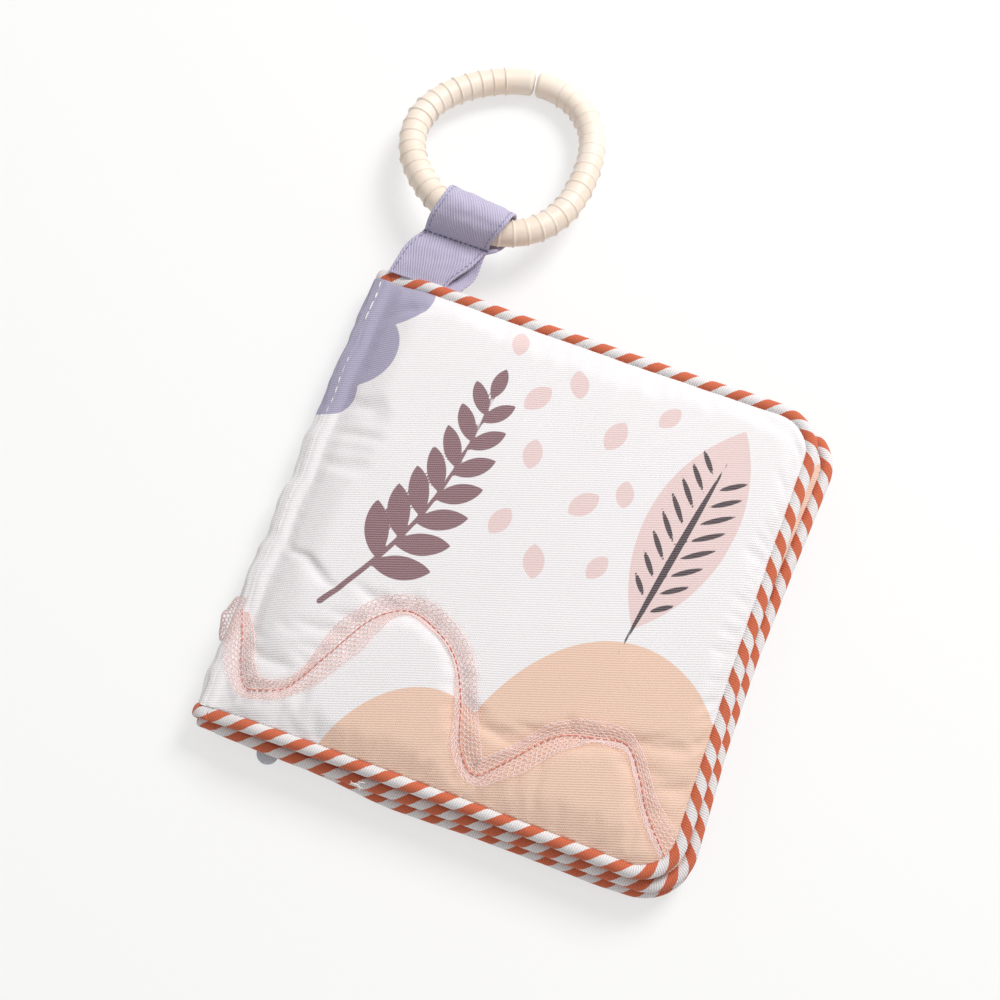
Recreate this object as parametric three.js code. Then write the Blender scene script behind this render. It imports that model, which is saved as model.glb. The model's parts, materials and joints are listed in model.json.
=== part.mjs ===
// A soft cloth activity book for a baby: two padded double panels folded into each other and sewn
// through near the fold, so that four leaves turn about one line; striped piping round every leaf,
// a netting ribbon on the front, and a twill strap that carries a ribbed split ring.
// Millimetres. +X runs from the spine to the fore edge, +Y from the foot to the strap, +Z up.
import * as THREE from 'three';

// Leaves
const coverReach = 149;
const coverHeight = 155;
const pageCreep = 5;
const cornerRadius = 16;
const pipingDiameter = 4.4;
const fabricThickness = 0.5;
const gap = 0.3;
const filmThickness = 0.2;
const edgeHalf = 1;
const edgeRoll = 9;
const drawIn = 0.8;
const frontCrown = 1.5;
const crownPower = 4;
const leafCount = 4;

// Fold and seam
const seamLeafThickness = 2.1;
const taperLength = 16;
const rootClearance = 0.35;
const pageSlip = 2.2;
const upperPageFan = -0.6;
const lowerPageFan = 0.8;
const backCoverFan = 2.4;

// Netting ribbon
const ribbonWidth = 8;
const ribbonThickness = 0.5;
const ribbonLift = 0.6;
const ribbonEdgeLift = 0.7;
const ribbonCellsAcross = 3;
const ribbonCellsAlong = 42;
const loopBulge = 5;
const loopLength = 17;
const loopCellsAcross = 5;
const loopCellsAlong = 8;

// Strap
const strapWidth = 23;
const strapLayer = 1.3;
const strapBaseGap = 0.4;
const strapSlitGap = 1.1;
const strapBaseX = 10.5;
const strapStitchReach = 14;
const strapRearShift = 4.5;
const strapSteps = 4;

// Ring
const ringCentrelineRadius = 29.3;
const ringSectionRadius = 4.4;
const ribHeight = 0.35;
const ribWidth = 1.8;
const ribCount = 41;
const ringSplit = 0.7;
const plainEnd = 6.5;
const ringCentreX = 19;
const ringTilt = THREE.MathUtils.degToRad(12.6);
const pocketClearance = 0.3;
const strapReach = 23.5;

// Tab peeping out at the foot
const tabWidth = 7;
const tabReach = 3.4;
const tabThickness = 1.2;
const tabX = 20.5;

// Worked out from the sizes above
const pipingRadius = pipingDiameter / 2;
const leafPitch = pipingDiameter + gap;
const seamPitch = seamLeafThickness + gap;
const leafHalf = pipingRadius;
const seamHalf = seamLeafThickness / 2;
const middleLeaf = (leafCount - 1) / 2;
const rollRadius = middleLeaf * seamPitch + seamHalf;
const rootRadius = rollRadius + rootClearance;
const axisHeight = middleLeaf * leafPitch + leafHalf;
const panelInset = pipingDiameter + gap;
const pageReach = coverReach + pageCreep;

const smooth = (share) => {
  const s = THREE.MathUtils.clamp(share, 0, 1);
  return s * s * (3 - 2 * s);
};
const opening = (x) => smooth((x - seamHalf) / taperLength);
const pitchAt = (x) => THREE.MathUtils.lerp(seamPitch, leafPitch, opening(x));
const halfAt = (x) => THREE.MathUtils.lerp(seamHalf, leafHalf, opening(x));
const rootAt = (z) => Math.sqrt(Math.max(rootRadius * rootRadius - z * z, 0));

// Each leaf: its place in the stack, how far it reaches, and how it slips towards the foot
const leaves = {
  back_cover: { place: 0, reach: coverReach, slip: 0, fan: backCoverFan, crown: 0, film: true },
  lower_page: { place: 1, reach: pageReach, slip: pageSlip, fan: lowerPageFan, crown: 0, film: false },
  upper_page: { place: 2, reach: pageReach, slip: pageSlip, fan: upperPageFan, crown: 0, film: false },
  front_cover: { place: 3, reach: coverReach, slip: 0, fan: 0, crown: frontCrown, film: true },
};

const midAt = (leaf, x) => (leaf.place - middleLeaf) * pitchAt(x);

// The sides of a filled leaf draw in a little between its corners, and a leaf slips in its plane
function settle(leaf, point) {
  const alongShare = THREE.MathUtils.clamp(point.x / leaf.reach, 0, 1);
  const acrossShare = point.y / coverHeight;
  const pull = drawIn * Math.sin(Math.PI * alongShare) * 2 * acrossShare;
  const bow = drawIn * alongShare * Math.cos(Math.PI * acrossShare);
  const y = point.y - pull - leaf.slip - leaf.fan * alongShare;
  return new THREE.Vector3(point.x - bow, y, point.z);
}

// Height of a leaf's face over its middle plane, at a distance from the piping
function faceHalf(leaf, x, edgeDistance) {
  const rise = Math.sin(Math.min(edgeDistance / edgeRoll, 1) * Math.PI / 2);
  return Math.min(halfAt(x), THREE.MathUtils.lerp(edgeHalf, leafHalf, rise));
}

function crownAt(leaf, x, y) {
  const acrossShare = THREE.MathUtils.clamp(2 * y / coverHeight, -1, 1);
  const alongShare = THREE.MathUtils.clamp(2 * x / leaf.reach - 1, -1, 1);
  const dome = (1 - acrossShare ** crownPower) * (1 - alongShare ** crownPower);
  return leaf.crown * dome * opening(x);
}

// Half height of the panel inside the piping at x, with its two round outer corners
function halfHeightAt(leaf, x, inset) {
  const radius = Math.max(cornerRadius - inset, gap);
  const half = coverHeight / 2 - inset;
  const past = Math.min(Math.max(x - (leaf.reach - inset - radius), 0), radius);
  return half - radius + Math.sqrt(radius * radius - past * past);
}

const materials = {
  coverPrint: { color: 0xebe4e2, roughness: 0.92, metalness: 0 },
  pagePrint: { color: 0xefe6df, roughness: 0.92, metalness: 0 },
  wadding: { color: 0xf4f2ee, roughness: 1, metalness: 0 },
  film: { color: 0xdfe3e8, roughness: 0.4, metalness: 0 },
  piping: { color: 0xcf6a48, roughness: 0.85, metalness: 0 },
  cord: { color: 0xeeeae0, roughness: 0.95, metalness: 0 },
  netting: { color: 0xf0c6bc, roughness: 0.8, metalness: 0 },
  strap: { color: 0xa9a3c0, roughness: 0.88, metalness: 0 },
  ring: { color: 0xf3e6d0, roughness: 0.45, metalness: 0 },
  tab: { color: 0x9aa3b3, roughness: 0.9, metalness: 0 },
};

const book = new THREE.Group();

function addPiece(name, geometry, look) {
  const piece = new THREE.Mesh(geometry, new THREE.MeshStandardMaterial(materials[look]));
  piece.name = name;
  book.add(piece);
  return piece;
}

function geometryOf(points, triangles) {
  const geometry = new THREE.BufferGeometry();
  const positions = points.flatMap((point) => [point.x, point.y, point.z]);
  geometry.setAttribute('position', new THREE.Float32BufferAttribute(positions, 3));
  geometry.setIndex(triangles);
  geometry.computeVertexNormals();
  return geometry;
}

// A closed slab between two nets of points, walled round its rim
function slab(columns, rows, upper, lower) {
  const points = [];
  for (const face of [upper, lower]) {
    for (let i = 0; i <= columns; i += 1) {
      for (let j = 0; j <= rows; j += 1) points.push(face(i, j));
    }
  }
  const at = (layer, i, j) => (layer * (columns + 1) + i) * (rows + 1) + j;
  const triangles = [];
  const quad = (a, b, c, d) => triangles.push(a, b, c, a, c, d);
  for (let i = 0; i < columns; i += 1) {
    for (let j = 0; j < rows; j += 1) {
      quad(at(0, i, j), at(0, i + 1, j), at(0, i + 1, j + 1), at(0, i, j + 1));
      quad(at(1, i, j), at(1, i, j + 1), at(1, i + 1, j + 1), at(1, i + 1, j));
    }
    quad(at(1, i, 0), at(1, i + 1, 0), at(0, i + 1, 0), at(0, i, 0));
    quad(at(0, i, rows), at(0, i + 1, rows), at(1, i + 1, rows), at(1, i, rows));
  }
  for (let j = 0; j < rows; j += 1) {
    quad(at(0, 0, j), at(0, 0, j + 1), at(1, 0, j + 1), at(1, 0, j));
    quad(at(1, columns, j), at(1, columns, j + 1), at(0, columns, j + 1), at(0, columns, j));
  }
  return geometryOf(points, triangles);
}

// One section of a tube: an ellipse in the plane of side and up, where side x up is the way along
function section(centre, side, up, halfWide, halfTall, sides) {
  return Array.from({ length: sides }, (unused, k) => {
    const angle = (2 * Math.PI * (k + 1 / 2)) / sides;
    return centre.clone()
      .addScaledVector(side, halfWide * Math.cos(angle))
      .addScaledVector(up, halfTall * Math.sin(angle));
  });
}

// A tube through its sections, solid with flat ends, or hollow when inner sections are given
function tube(outer, inner) {
  const sides = outer[0].length;
  const points = outer.flat().concat(inner ? inner.flat() : []);
  const at = (ring, k) => ring * sides + (k % sides);
  const triangles = [];
  const quad = (a, b, c, d) => triangles.push(a, b, c, a, c, d);
  const last = outer.length - 1;
  const into = outer.length;
  for (let k = 0; k < sides; k += 1) {
    for (let ring = 0; ring < last; ring += 1) {
      quad(at(ring, k), at(ring, k + 1), at(ring + 1, k + 1), at(ring + 1, k));
      if (inner) {
        const back = ring + into;
        quad(at(back, k + 1), at(back, k), at(back + 1, k), at(back + 1, k + 1));
      }
    }
    if (inner) {
      quad(at(0, k + 1), at(0, k), at(into, k), at(into, k + 1));
      quad(at(last, k), at(last, k + 1), at(last + into, k + 1), at(last + into, k));
    } else if (k > 0 && k < sides - 1) {
      triangles.push(at(0, 0), at(0, k + 1), at(0, k));
      triangles.push(at(last, 0), at(last, k), at(last, k + 1));
    }
  }
  return geometryOf(points, triangles);
}

// Columns from the seam to the flat part of a leaf: the first stands at the root, the others past it
const flatStart = seamHalf + taperLength;
const seamColumns = (taperShares) => [
  seamHalf,
  ...taperShares.map((share) => THREE.MathUtils.lerp(rootRadius, flatStart, share)),
];

// Columns of a panel's net, closer where the leaf tapers at the seam and where its corners turn
function panelColumns(leaf, inset, fromSeam, middleColumns, cornerColumns) {
  const radius = cornerRadius - inset;
  const turn = leaf.reach - inset - Math.max(radius, gap);
  const xs = fromSeam ? seamColumns([0.1, 0.35, 0.65]) : [];
  for (let k = 0; k <= middleColumns; k += 1) {
    xs.push(THREE.MathUtils.lerp(flatStart, turn, k / middleColumns));
  }
  for (let k = 1; k <= cornerColumns; k += 1) {
    xs.push(turn + Math.max(radius, gap) * Math.sin((k / cornerColumns) * Math.PI / 2));
  }
  return xs;
}

// One layer of a leaf: two nets whose heights over the middle plane follow the height of its face
function panelLayer(leaf, net, topOf, bottomOf) {
  const xs = panelColumns(leaf, net.inset, net.fromSeam, net.middle, net.corner);
  const reach = leaf.reach - net.inset;
  const place = (levelOf) => (i, j) => {
    const x = xs[i];
    const half = halfHeightAt(leaf, x, net.inset);
    const y = half * Math.sin((j / net.rows - 1 / 2) * Math.PI);
    const edge = Math.min(reach - x, half - Math.abs(y)) + net.inset - panelInset;
    const z = midAt(leaf, x) + levelOf(faceHalf(leaf, x, edge), x, y);
    const atSeam = net.fromSeam && i === 0;
    return settle(leaf, new THREE.Vector3(atSeam ? rootAt(z) : x, y, z + axisHeight));
  };
  return slab(xs.length - 1, net.rows, place(topOf), place(bottomOf));
}

const filmDepth = fabricThickness + gap;
const waddingDepth = filmDepth + filmThickness + gap;
const leastWadding = 0.2;
const fineNet = { rows: 12, middle: 8, corner: 4 };
const plainNet = { rows: 6, middle: 4, corner: 3 };

function addPanels(name, leaf) {
  const faceNet = leaf.crown > 0 ? fineNet : plainNet;
  const up = leaf.place > middleLeaf ? 1 : -1;
  const swell = (x, y) => crownAt(leaf, x, y);
  const none = () => 0;
  const skin = (side, crown, depth, thickness, shape) => {
    const near = (half, x, y) => side * (half + crown(x, y) - depth);
    const deep = (half, x, y) => side * (half + crown(x, y) - depth - thickness);
    return side > 0 ? panelLayer(leaf, shape, near, deep) : panelLayer(leaf, shape, deep, near);
  };
  const panel = (shape, inset, fromSeam) => ({ ...shape, inset, fromSeam });
  const isCover = leaf.film;
  const outerName = isCover ? 'outer_fabric' : `${up > 0 ? 'top' : 'bottom'}_fabric`;
  const innerName = isCover ? 'inner_fabric' : `${up > 0 ? 'bottom' : 'top'}_fabric`;
  const outerShape = panel(faceNet, panelInset, true);
  addPiece(`${name}_${outerName}`, skin(up, swell, 0, fabricThickness, outerShape),
    isCover ? 'coverPrint' : 'pagePrint');
  addPiece(`${name}_${innerName}`,
    skin(-up, none, 0, fabricThickness, panel(plainNet, panelInset, true)), 'pagePrint');
  const outerDepth = isCover ? waddingDepth : filmDepth;
  const packedOuter = (half, x, y) => Math.max(half + swell(x, y) - outerDepth, leastWadding);
  const packedInner = (half) => Math.max(half - filmDepth, leastWadding);
  const fillTop = up > 0 ? packedOuter : packedInner;
  const fillBottom = up > 0 ? packedInner : packedOuter;
  addPiece(`${name}_wadding`, panelLayer(leaf, panel(plainNet, panelInset, true),
    fillTop, (half, x, y) => -fillBottom(half, x, y)), 'wadding');
  if (leaf.film) {
    addPiece(`${name}_crinkle_film`,
      skin(up, swell, filmDepth, filmThickness, panel(plainNet, panelInset + edgeRoll, false)), 'film');
  }
}

// Stations of the piping's centreline round a leaf's three open sides, from seam to seam
const pipingSides = 8;
const cordSides = 5;
function pipingStations(leaf) {
  const turnSteps = 4;
  const middleShares = [0.5];
  const radius = cornerRadius - pipingRadius;
  const farX = leaf.reach - pipingRadius;
  const half = coverHeight / 2 - pipingRadius;
  const turn = farX - radius;
  const along = seamColumns([0.1, 0.5, 1])
    .concat(middleShares.map((share) => THREE.MathUtils.lerp(flatStart, turn, share)));
  const stations = along.map((x) => ({ x, y: half, heading: 0 }));
  for (let k = 0; k <= turnSteps; k += 1) {
    const angle = (k / turnSteps) * Math.PI / 2;
    stations.push({
      x: turn + radius * Math.sin(angle),
      y: half - radius + radius * Math.cos(angle),
      heading: -angle,
    });
  }
  const back = stations.map((spot) => ({ x: spot.x, y: -spot.y, heading: -Math.PI - spot.heading }));
  return stations.concat([{ x: farX, y: 0, heading: -Math.PI / 2 }], back.reverse());
}

function pipingSections(leaf, shrink, sides) {
  const stations = pipingStations(leaf);
  const up = new THREE.Vector3(0, 0, 1);
  return stations.map((spot, index) => {
    const atSeam = index === 0 || index === stations.length - 1;
    const heading = new THREE.Vector3(Math.cos(spot.heading), Math.sin(spot.heading), 0);
    const side = new THREE.Vector3().crossVectors(up, heading);
    const centre = new THREE.Vector3(spot.x, spot.y, midAt(leaf, spot.x));
    const halfTall = halfAt(spot.x) - shrink;
    return section(centre, side, up, pipingRadius - shrink, halfTall, sides).map((point) => {
      const x = atSeam ? rootAt(point.z) : point.x;
      return settle(leaf, new THREE.Vector3(x, point.y, point.z + axisHeight));
    });
  });
}

function addPiping(name, leaf) {
  addPiece(`${name}_piping`, tube(pipingSections(leaf, 0, pipingSides),
    pipingSections(leaf, fabricThickness, pipingSides)), 'piping');
  addPiece(`${name}_piping_cord`,
    tube(pipingSections(leaf, fabricThickness + gap, cordSides)), 'cord');
}

for (const [name, leaf] of Object.entries(leaves)) {
  addPanels(name, leaf);
  addPiping(name, leaf);
}

// The fold: layers bent round the hinge line, whose legs run on to the leaves as far as the roll
function foldLayer(outerRadius, innerRadius, slip) {
  const legOf = (radius) => Math.sqrt(Math.max(rollRadius * rollRadius - radius * radius, 0));
  const outline = new THREE.Shape();
  outline.moveTo(legOf(outerRadius), outerRadius);
  outline.lineTo(0, outerRadius);
  outline.absarc(0, 0, outerRadius, Math.PI / 2, (3 * Math.PI) / 2, false);
  outline.lineTo(legOf(outerRadius), -outerRadius);
  if (innerRadius > 0) {
    outline.lineTo(legOf(outerRadius), -innerRadius);
    outline.lineTo(0, -innerRadius);
    outline.absarc(0, 0, innerRadius, (3 * Math.PI) / 2, Math.PI / 2, true);
    outline.lineTo(legOf(outerRadius), innerRadius);
  }
  const length = coverHeight - 2 * panelInset;
  const foldSteps = 8;
  const layer = new THREE.ExtrudeGeometry(outline,
    { depth: length, bevelEnabled: false, curveSegments: foldSteps });
  layer.rotateX(Math.PI / 2);
  layer.translate(0, length / 2 - slip, axisHeight);
  return layer;
}

const pageFoldRadius = seamPitch / 2 + seamHalf;
const innerSkinRadius = rollRadius - seamLeafThickness;
addPiece('cover_fold_outer_fabric', foldLayer(rollRadius, rollRadius - fabricThickness, 0), 'coverPrint');
addPiece('cover_fold_wadding',
  foldLayer(rollRadius - filmDepth, innerSkinRadius + filmDepth, 0), 'wadding');
addPiece('cover_fold_inner_fabric',
  foldLayer(innerSkinRadius + fabricThickness, innerSkinRadius, 0), 'pagePrint');
addPiece('page_fold_fabric',
  foldLayer(pageFoldRadius, pageFoldRadius - fabricThickness, pageSlip), 'pagePrint');
addPiece('page_fold_wadding', foldLayer(pageFoldRadius - filmDepth, 0, pageSlip), 'wadding');

// Piping nested round the fold at both ends of the book
function foldPipingSections(bendRadius, end, slip, shrink, sides) {
  const bendSteps = 5;
  const y = end * (coverHeight / 2 - pipingRadius) - slip;
  const side = new THREE.Vector3(0, -1, 0);
  const ringAt = (angle, onEnd) => {
    const up = new THREE.Vector3(Math.cos(angle), 0, Math.sin(angle));
    const centre = up.clone().multiplyScalar(bendRadius).add(new THREE.Vector3(0, y, 0));
    return section(centre, side, up, pipingRadius - shrink, seamHalf - shrink, sides).map((point) => {
      const reach = Math.sqrt(Math.max(rollRadius * rollRadius - point.z * point.z, 0));
      return new THREE.Vector3(onEnd ? reach : point.x, point.y, point.z + axisHeight);
    });
  };
  const rings = [ringAt(Math.PI / 2, true)];
  for (let k = 0; k <= bendSteps; k += 1) rings.push(ringAt(Math.PI / 2 + (k / bendSteps) * Math.PI, false));
  rings.push(ringAt((3 * Math.PI) / 2, true));
  return rings;
}

for (const [name, end] of [['top', 1], ['bottom', -1]]) {
  const folds = [['cover', middleLeaf * seamPitch, 0], ['page', seamPitch / 2, pageSlip]];
  for (const [panel, bendRadius, slip] of folds) {
    const sectionsOf = (shrink, sides) => foldPipingSections(bendRadius, end, slip, shrink, sides);
    addPiece(`${panel}_fold_piping_${name}`,
      tube(sectionsOf(0, pipingSides), sectionsOf(fabricThickness, pipingSides)), 'piping');
    addPiece(`${panel}_fold_piping_cord_${name}`,
      tube(sectionsOf(fabricThickness + gap, cordSides)), 'cord');
  }
}

// Netting: a strip of diamond gaps laid on a surface, given by a function of two shares
function netting(cellsAlong, cellsAcross, surfaceAt, thickness) {
  const openShare = 0.36;
  const points = [];
  const triangles = [];
  const layers = [thickness, 0];
  const knotsAcross = cellsAcross + 1;
  const knots = (cellsAlong + 1) * knotsAcross;
  const cells = cellsAlong * cellsAcross;
  const perLayer = knots + 4 * cells;
  for (const lift of layers) {
    for (let i = 0; i <= cellsAlong; i += 1) {
      for (let j = 0; j <= cellsAcross; j += 1) {
        points.push(surfaceAt(i / cellsAlong, j / cellsAcross, lift));
      }
    }
    for (let i = 0; i < cellsAlong; i += 1) {
      for (let j = 0; j < cellsAcross; j += 1) {
        const diamond = [[-openShare, 0], [0, -openShare], [openShare, 0], [0, openShare]];
        for (const [a, b] of diamond) {
          points.push(surfaceAt((i + 1 / 2 + a) / cellsAlong, (j + 1 / 2 + b) / cellsAcross, lift));
        }
      }
    }
  }
  const knot = (layer, i, j) => layer * perLayer + i * knotsAcross + j;
  const hole = (layer, i, j, k) => layer * perLayer + knots + 4 * (i * cellsAcross + j) + (k % 4);
  const face = (layer, a, b, c) => triangles.push(...(layer === 0 ? [a, b, c] : [a, c, b]));
  for (let i = 0; i < cellsAlong; i += 1) {
    for (let j = 0; j < cellsAcross; j += 1) {
      for (const layer of [0, 1]) {
        const corner = [
          knot(layer, i, j), knot(layer, i + 1, j), knot(layer, i + 1, j + 1), knot(layer, i, j + 1),
        ];
        for (let k = 0; k < 4; k += 1) {
          const here = hole(layer, i, j, k);
          const next = hole(layer, i, j, k + 1);
          face(layer, corner[(k + 3) % 4], corner[k], here);
          face(layer, corner[k], next, here);
        }
      }
      for (let k = 0; k < 4; k += 1) {
        const a = hole(0, i, j, k);
        const b = hole(0, i, j, k + 1);
        const c = hole(1, i, j, k + 1);
        const d = hole(1, i, j, k);
        triangles.push(a, b, c, a, c, d);
      }
    }
  }
  const wall = (a, b, c, d) => triangles.push(a, b, c, a, c, d);
  for (let i = 0; i < cellsAlong; i += 1) {
    wall(knot(1, i, 0), knot(1, i + 1, 0), knot(0, i + 1, 0), knot(0, i, 0));
    wall(knot(0, i, cellsAcross), knot(0, i + 1, cellsAcross),
      knot(1, i + 1, cellsAcross), knot(1, i, cellsAcross));
  }
  for (let j = 0; j < cellsAcross; j += 1) {
    wall(knot(0, 0, j), knot(0, 0, j + 1), knot(1, 0, j + 1), knot(1, 0, j));
    wall(knot(1, cellsAlong, j), knot(1, cellsAlong, j + 1),
      knot(0, cellsAlong, j + 1), knot(0, cellsAlong, j));
  }
  return geometryOf(points, triangles);
}

// The ribbon's sewn line over the front cover, as shares of the reach and of half the height
const ribbonPathShares = [
  [0.03, -0.66], [0.037, -0.74], [0.055, -0.83], [0.095, -0.82], [0.145, -0.775], [0.195, -0.61],
  [0.25, -0.425], [0.315, -0.34], [0.385, -0.375], [0.44, -0.455], [0.478, -0.59], [0.51, -0.76],
  [0.555, -0.84], [0.605, -0.755], [0.68, -0.6], [0.76, -0.55], [0.82, -0.535], [0.865, -0.64],
  [0.9, -0.75], [0.94, -0.83],
];
const frontLeaf = leaves.front_cover;
const ribbonLine = new THREE.CatmullRomCurve3(ribbonPathShares.map(([along, across]) => (
  new THREE.Vector3(along * coverReach, across * coverHeight / 2, 0)
)), false, 'centripetal');

function frontFaceHeight(x, y) {
  const half = halfHeightAt(frontLeaf, x, panelInset);
  const edge = Math.max(Math.min(coverReach - panelInset - x, half - Math.abs(y)), 0);
  return axisHeight + midAt(frontLeaf, x) + faceHalf(frontLeaf, x, edge) + crownAt(frontLeaf, x, y);
}

const ribbonAt = (alongShare, acrossShare, lift) => {
  const spot = ribbonLine.getPointAt(THREE.MathUtils.clamp(alongShare, 0, 1));
  const tangent = ribbonLine.getTangentAt(THREE.MathUtils.clamp(alongShare, 0, 1));
  const across = (acrossShare - 1 / 2) * ribbonWidth;
  const x = spot.x - tangent.y * across;
  const y = spot.y + tangent.x * across;
  const curl = ribbonEdgeLift * (2 * acrossShare - 1) ** 2;
  return new THREE.Vector3(x, y, frontFaceHeight(x, y) + ribbonLift + curl + lift);
};
addPiece('mesh_ribbon_front',
  netting(ribbonCellsAlong, ribbonCellsAcross, ribbonAt, ribbonThickness), 'netting');

// Where the ribbon starts, its free edge bulges out over the fold
const loopStartShare = -0.53;
const loopTopAngle = THREE.MathUtils.degToRad(112);
const loopEndAngle = THREE.MathUtils.degToRad(205);
const loopAt = (alongShare, acrossShare, lift) => {
  const angle = THREE.MathUtils.lerp(loopEndAngle, loopTopAngle, acrossShare);
  const swell = Math.sin(Math.PI * acrossShare) * Math.sin(Math.PI * (1 / 4 + alongShare / 2));
  const radius = rootRadius + gap + loopBulge * swell + lift;
  const y = loopStartShare * coverHeight / 2 - alongShare * loopLength;
  return new THREE.Vector3(radius * Math.cos(angle), y, axisHeight + radius * Math.sin(angle));
};
addPiece('mesh_ribbon_fold_loop',
  netting(loopCellsAlong, loopCellsAcross, loopAt, ribbonThickness), 'netting');

// The ribbed ring: one open loop of round section, tilted from the strap down to the table
const ribRadius = ringSectionRadius + ribHeight;
function ringStations() {
  const endShares = [[0, 0.55], [0.3, 0.85], [0.75, 1]];
  const stations = endShares.map(([along, size]) => [along * ringSectionRadius, size * ringSectionRadius]);
  const length = 2 * Math.PI * ringCentrelineRadius - ringSplit;
  const pitch = (length - 2 * plainEnd) / ribCount;
  for (let k = 0; k < ribCount; k += 1) {
    const middle = plainEnd + (k + 1 / 2) * pitch;
    stations.push([middle - ribWidth / 2, ringSectionRadius]);
    stations.push([middle, ribRadius]);
    stations.push([middle + ribWidth / 2, ringSectionRadius]);
  }
  const close = stations.slice(0, endShares.length).map(([along, size]) => [length - along, size]);
  return stations.concat(close.reverse());
}
const ringSides = 8;
const up = new THREE.Vector3(0, 0, 1);
const ringRings = ringStations().map(([along, radius]) => {
  const angle = Math.PI / 2 + (along + ringSplit / 2) / ringCentrelineRadius;
  const out = new THREE.Vector3(Math.cos(angle), Math.sin(angle), 0);
  const heading = new THREE.Vector3(-Math.sin(angle), Math.cos(angle), 0);
  const side = new THREE.Vector3().crossVectors(up, heading);
  return section(out.multiplyScalar(ringCentrelineRadius), side, up, radius, radius, ringSides);
});
const strapBaseHalf = strapLayer + strapSlitGap / 4;
const strapPivotY = coverHeight / 2 + strapBaseGap + strapBaseHalf;
const strapPivotZ = axisHeight + midAt(frontLeaf, strapBaseX);
const pocketSagitta = ringCentrelineRadius - Math.sqrt(ringCentrelineRadius ** 2 - (strapWidth / 2) ** 2);
const pocketOffset = ringCentrelineRadius - pocketSagitta / 2;
const ringCentreY = strapPivotY + strapReach + pocketOffset * Math.cos(ringTilt);
const ringCentreZ = ringCentrelineRadius * Math.sin(ringTilt) + ringSectionRadius;
const ring = addPiece('teething_ring', tube(ringRings), 'ring');
ring.rotation.x = -ringTilt;
ring.position.set(ringCentreX, ringCentreY, ringCentreZ);

// The strap: a folded tape, its two layers stitched together below the pocket that holds the ring
const pocketRadius = ribRadius + pocketSagitta / 2 + pocketClearance;
const pocketZ = ringCentreZ + pocketOffset * Math.sin(ringTilt) - strapPivotZ;
const stitchZ = pocketZ * (strapStitchReach / strapReach);
const strapOuterRadius = pocketRadius + strapLayer;
const strapOutline = new THREE.Shape();
const meetAngle = THREE.MathUtils.degToRad(140);
strapOutline.absarc(0, 0, strapBaseHalf, Math.PI / 2, (3 * Math.PI) / 2, false);
strapOutline.lineTo(strapStitchReach, stitchZ - strapLayer);
strapOutline.absarc(strapReach, pocketZ, strapOuterRadius, -meetAngle, meetAngle, false);
strapOutline.lineTo(strapStitchReach, stitchZ + strapLayer);
strapOutline.lineTo(0, strapBaseHalf);
const slit = new THREE.Path();
const slitMiddle = strapStitchReach / 2;
slit.moveTo(strapLayer, 0);
slit.quadraticCurveTo(slitMiddle, strapSlitGap + stitchZ / 2, strapStitchReach - strapLayer, stitchZ);
slit.quadraticCurveTo(slitMiddle, stitchZ / 2 - strapSlitGap, strapLayer, 0);
const pocket = new THREE.Path();
pocket.absarc(strapReach, pocketZ, pocketRadius, 0, 2 * Math.PI, true);
strapOutline.holes.push(slit, pocket);
const curveSteps = 8;
const strapGeometry = new THREE.ExtrudeGeometry(strapOutline,
  { depth: strapWidth, steps: strapSteps, bevelEnabled: false, curveSegments: curveSteps });
const strapPosition = strapGeometry.getAttribute('position');
for (let k = 0; k < strapPosition.count; k += 1) {
  const along = strapPosition.getX(k);
  const height = strapPosition.getY(k);
  const across = strapPosition.getZ(k) - strapWidth / 2;
  const leanShare = smooth(along / strapReach);
  const isRear = height < stitchZ * (along / strapStitchReach);
  const rear = isRear ? strapRearShift * (1 - smooth(along / strapStitchReach)) : 0;
  const x = THREE.MathUtils.lerp(strapBaseX, ringCentreX, leanShare) + across + rear;
  strapPosition.setXYZ(k, x, strapPivotY + along, strapPivotZ + height);
}
addPiece('hanging_strap', strapGeometry, 'strap');

// A small folded tab of cloth sewn into the back cover's foot seam
const tabOutline = new THREE.Shape();
tabOutline.moveTo(-tabWidth / 2, 0);
tabOutline.bezierCurveTo(-tabWidth / 2, -tabReach, tabWidth / 2, -tabReach, tabWidth / 2, 0);
tabOutline.lineTo(-tabWidth / 2, 0);
const tab = new THREE.ExtrudeGeometry(tabOutline,
  { depth: tabThickness, bevelEnabled: false, curveSegments: curveSteps });
const tabShare = tabX / coverReach;
const footAtTab = -coverHeight / 2 + drawIn * Math.sin(Math.PI * tabShare) - backCoverFan * tabShare;
tab.translate(tabX, footAtTab - gap, axisHeight + midAt(leaves.back_cover, tabX) - tabThickness / 2);
addPiece('foot_tab', tab, 'tab');

// The origin is under the middle of the whole, on the surface that it lies on
book.updateMatrixWorld(true);
const box = new THREE.Box3().setFromObject(book, true);
const middle = box.getCenter(new THREE.Vector3());
book.position.set(-middle.x, -middle.y, -box.min.z);
book.updateMatrixWorld(true);

export default book;
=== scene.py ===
# A soft cloth activity book for a baby: four padded leaves with striped piping, sewn through at the
# fold, a netting ribbon on the front and a twill strap that carries a ribbed split ring.
import json
import math

import bpy
import numpy as np
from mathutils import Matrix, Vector, noise
from mathutils.bvhtree import BVHTree


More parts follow.
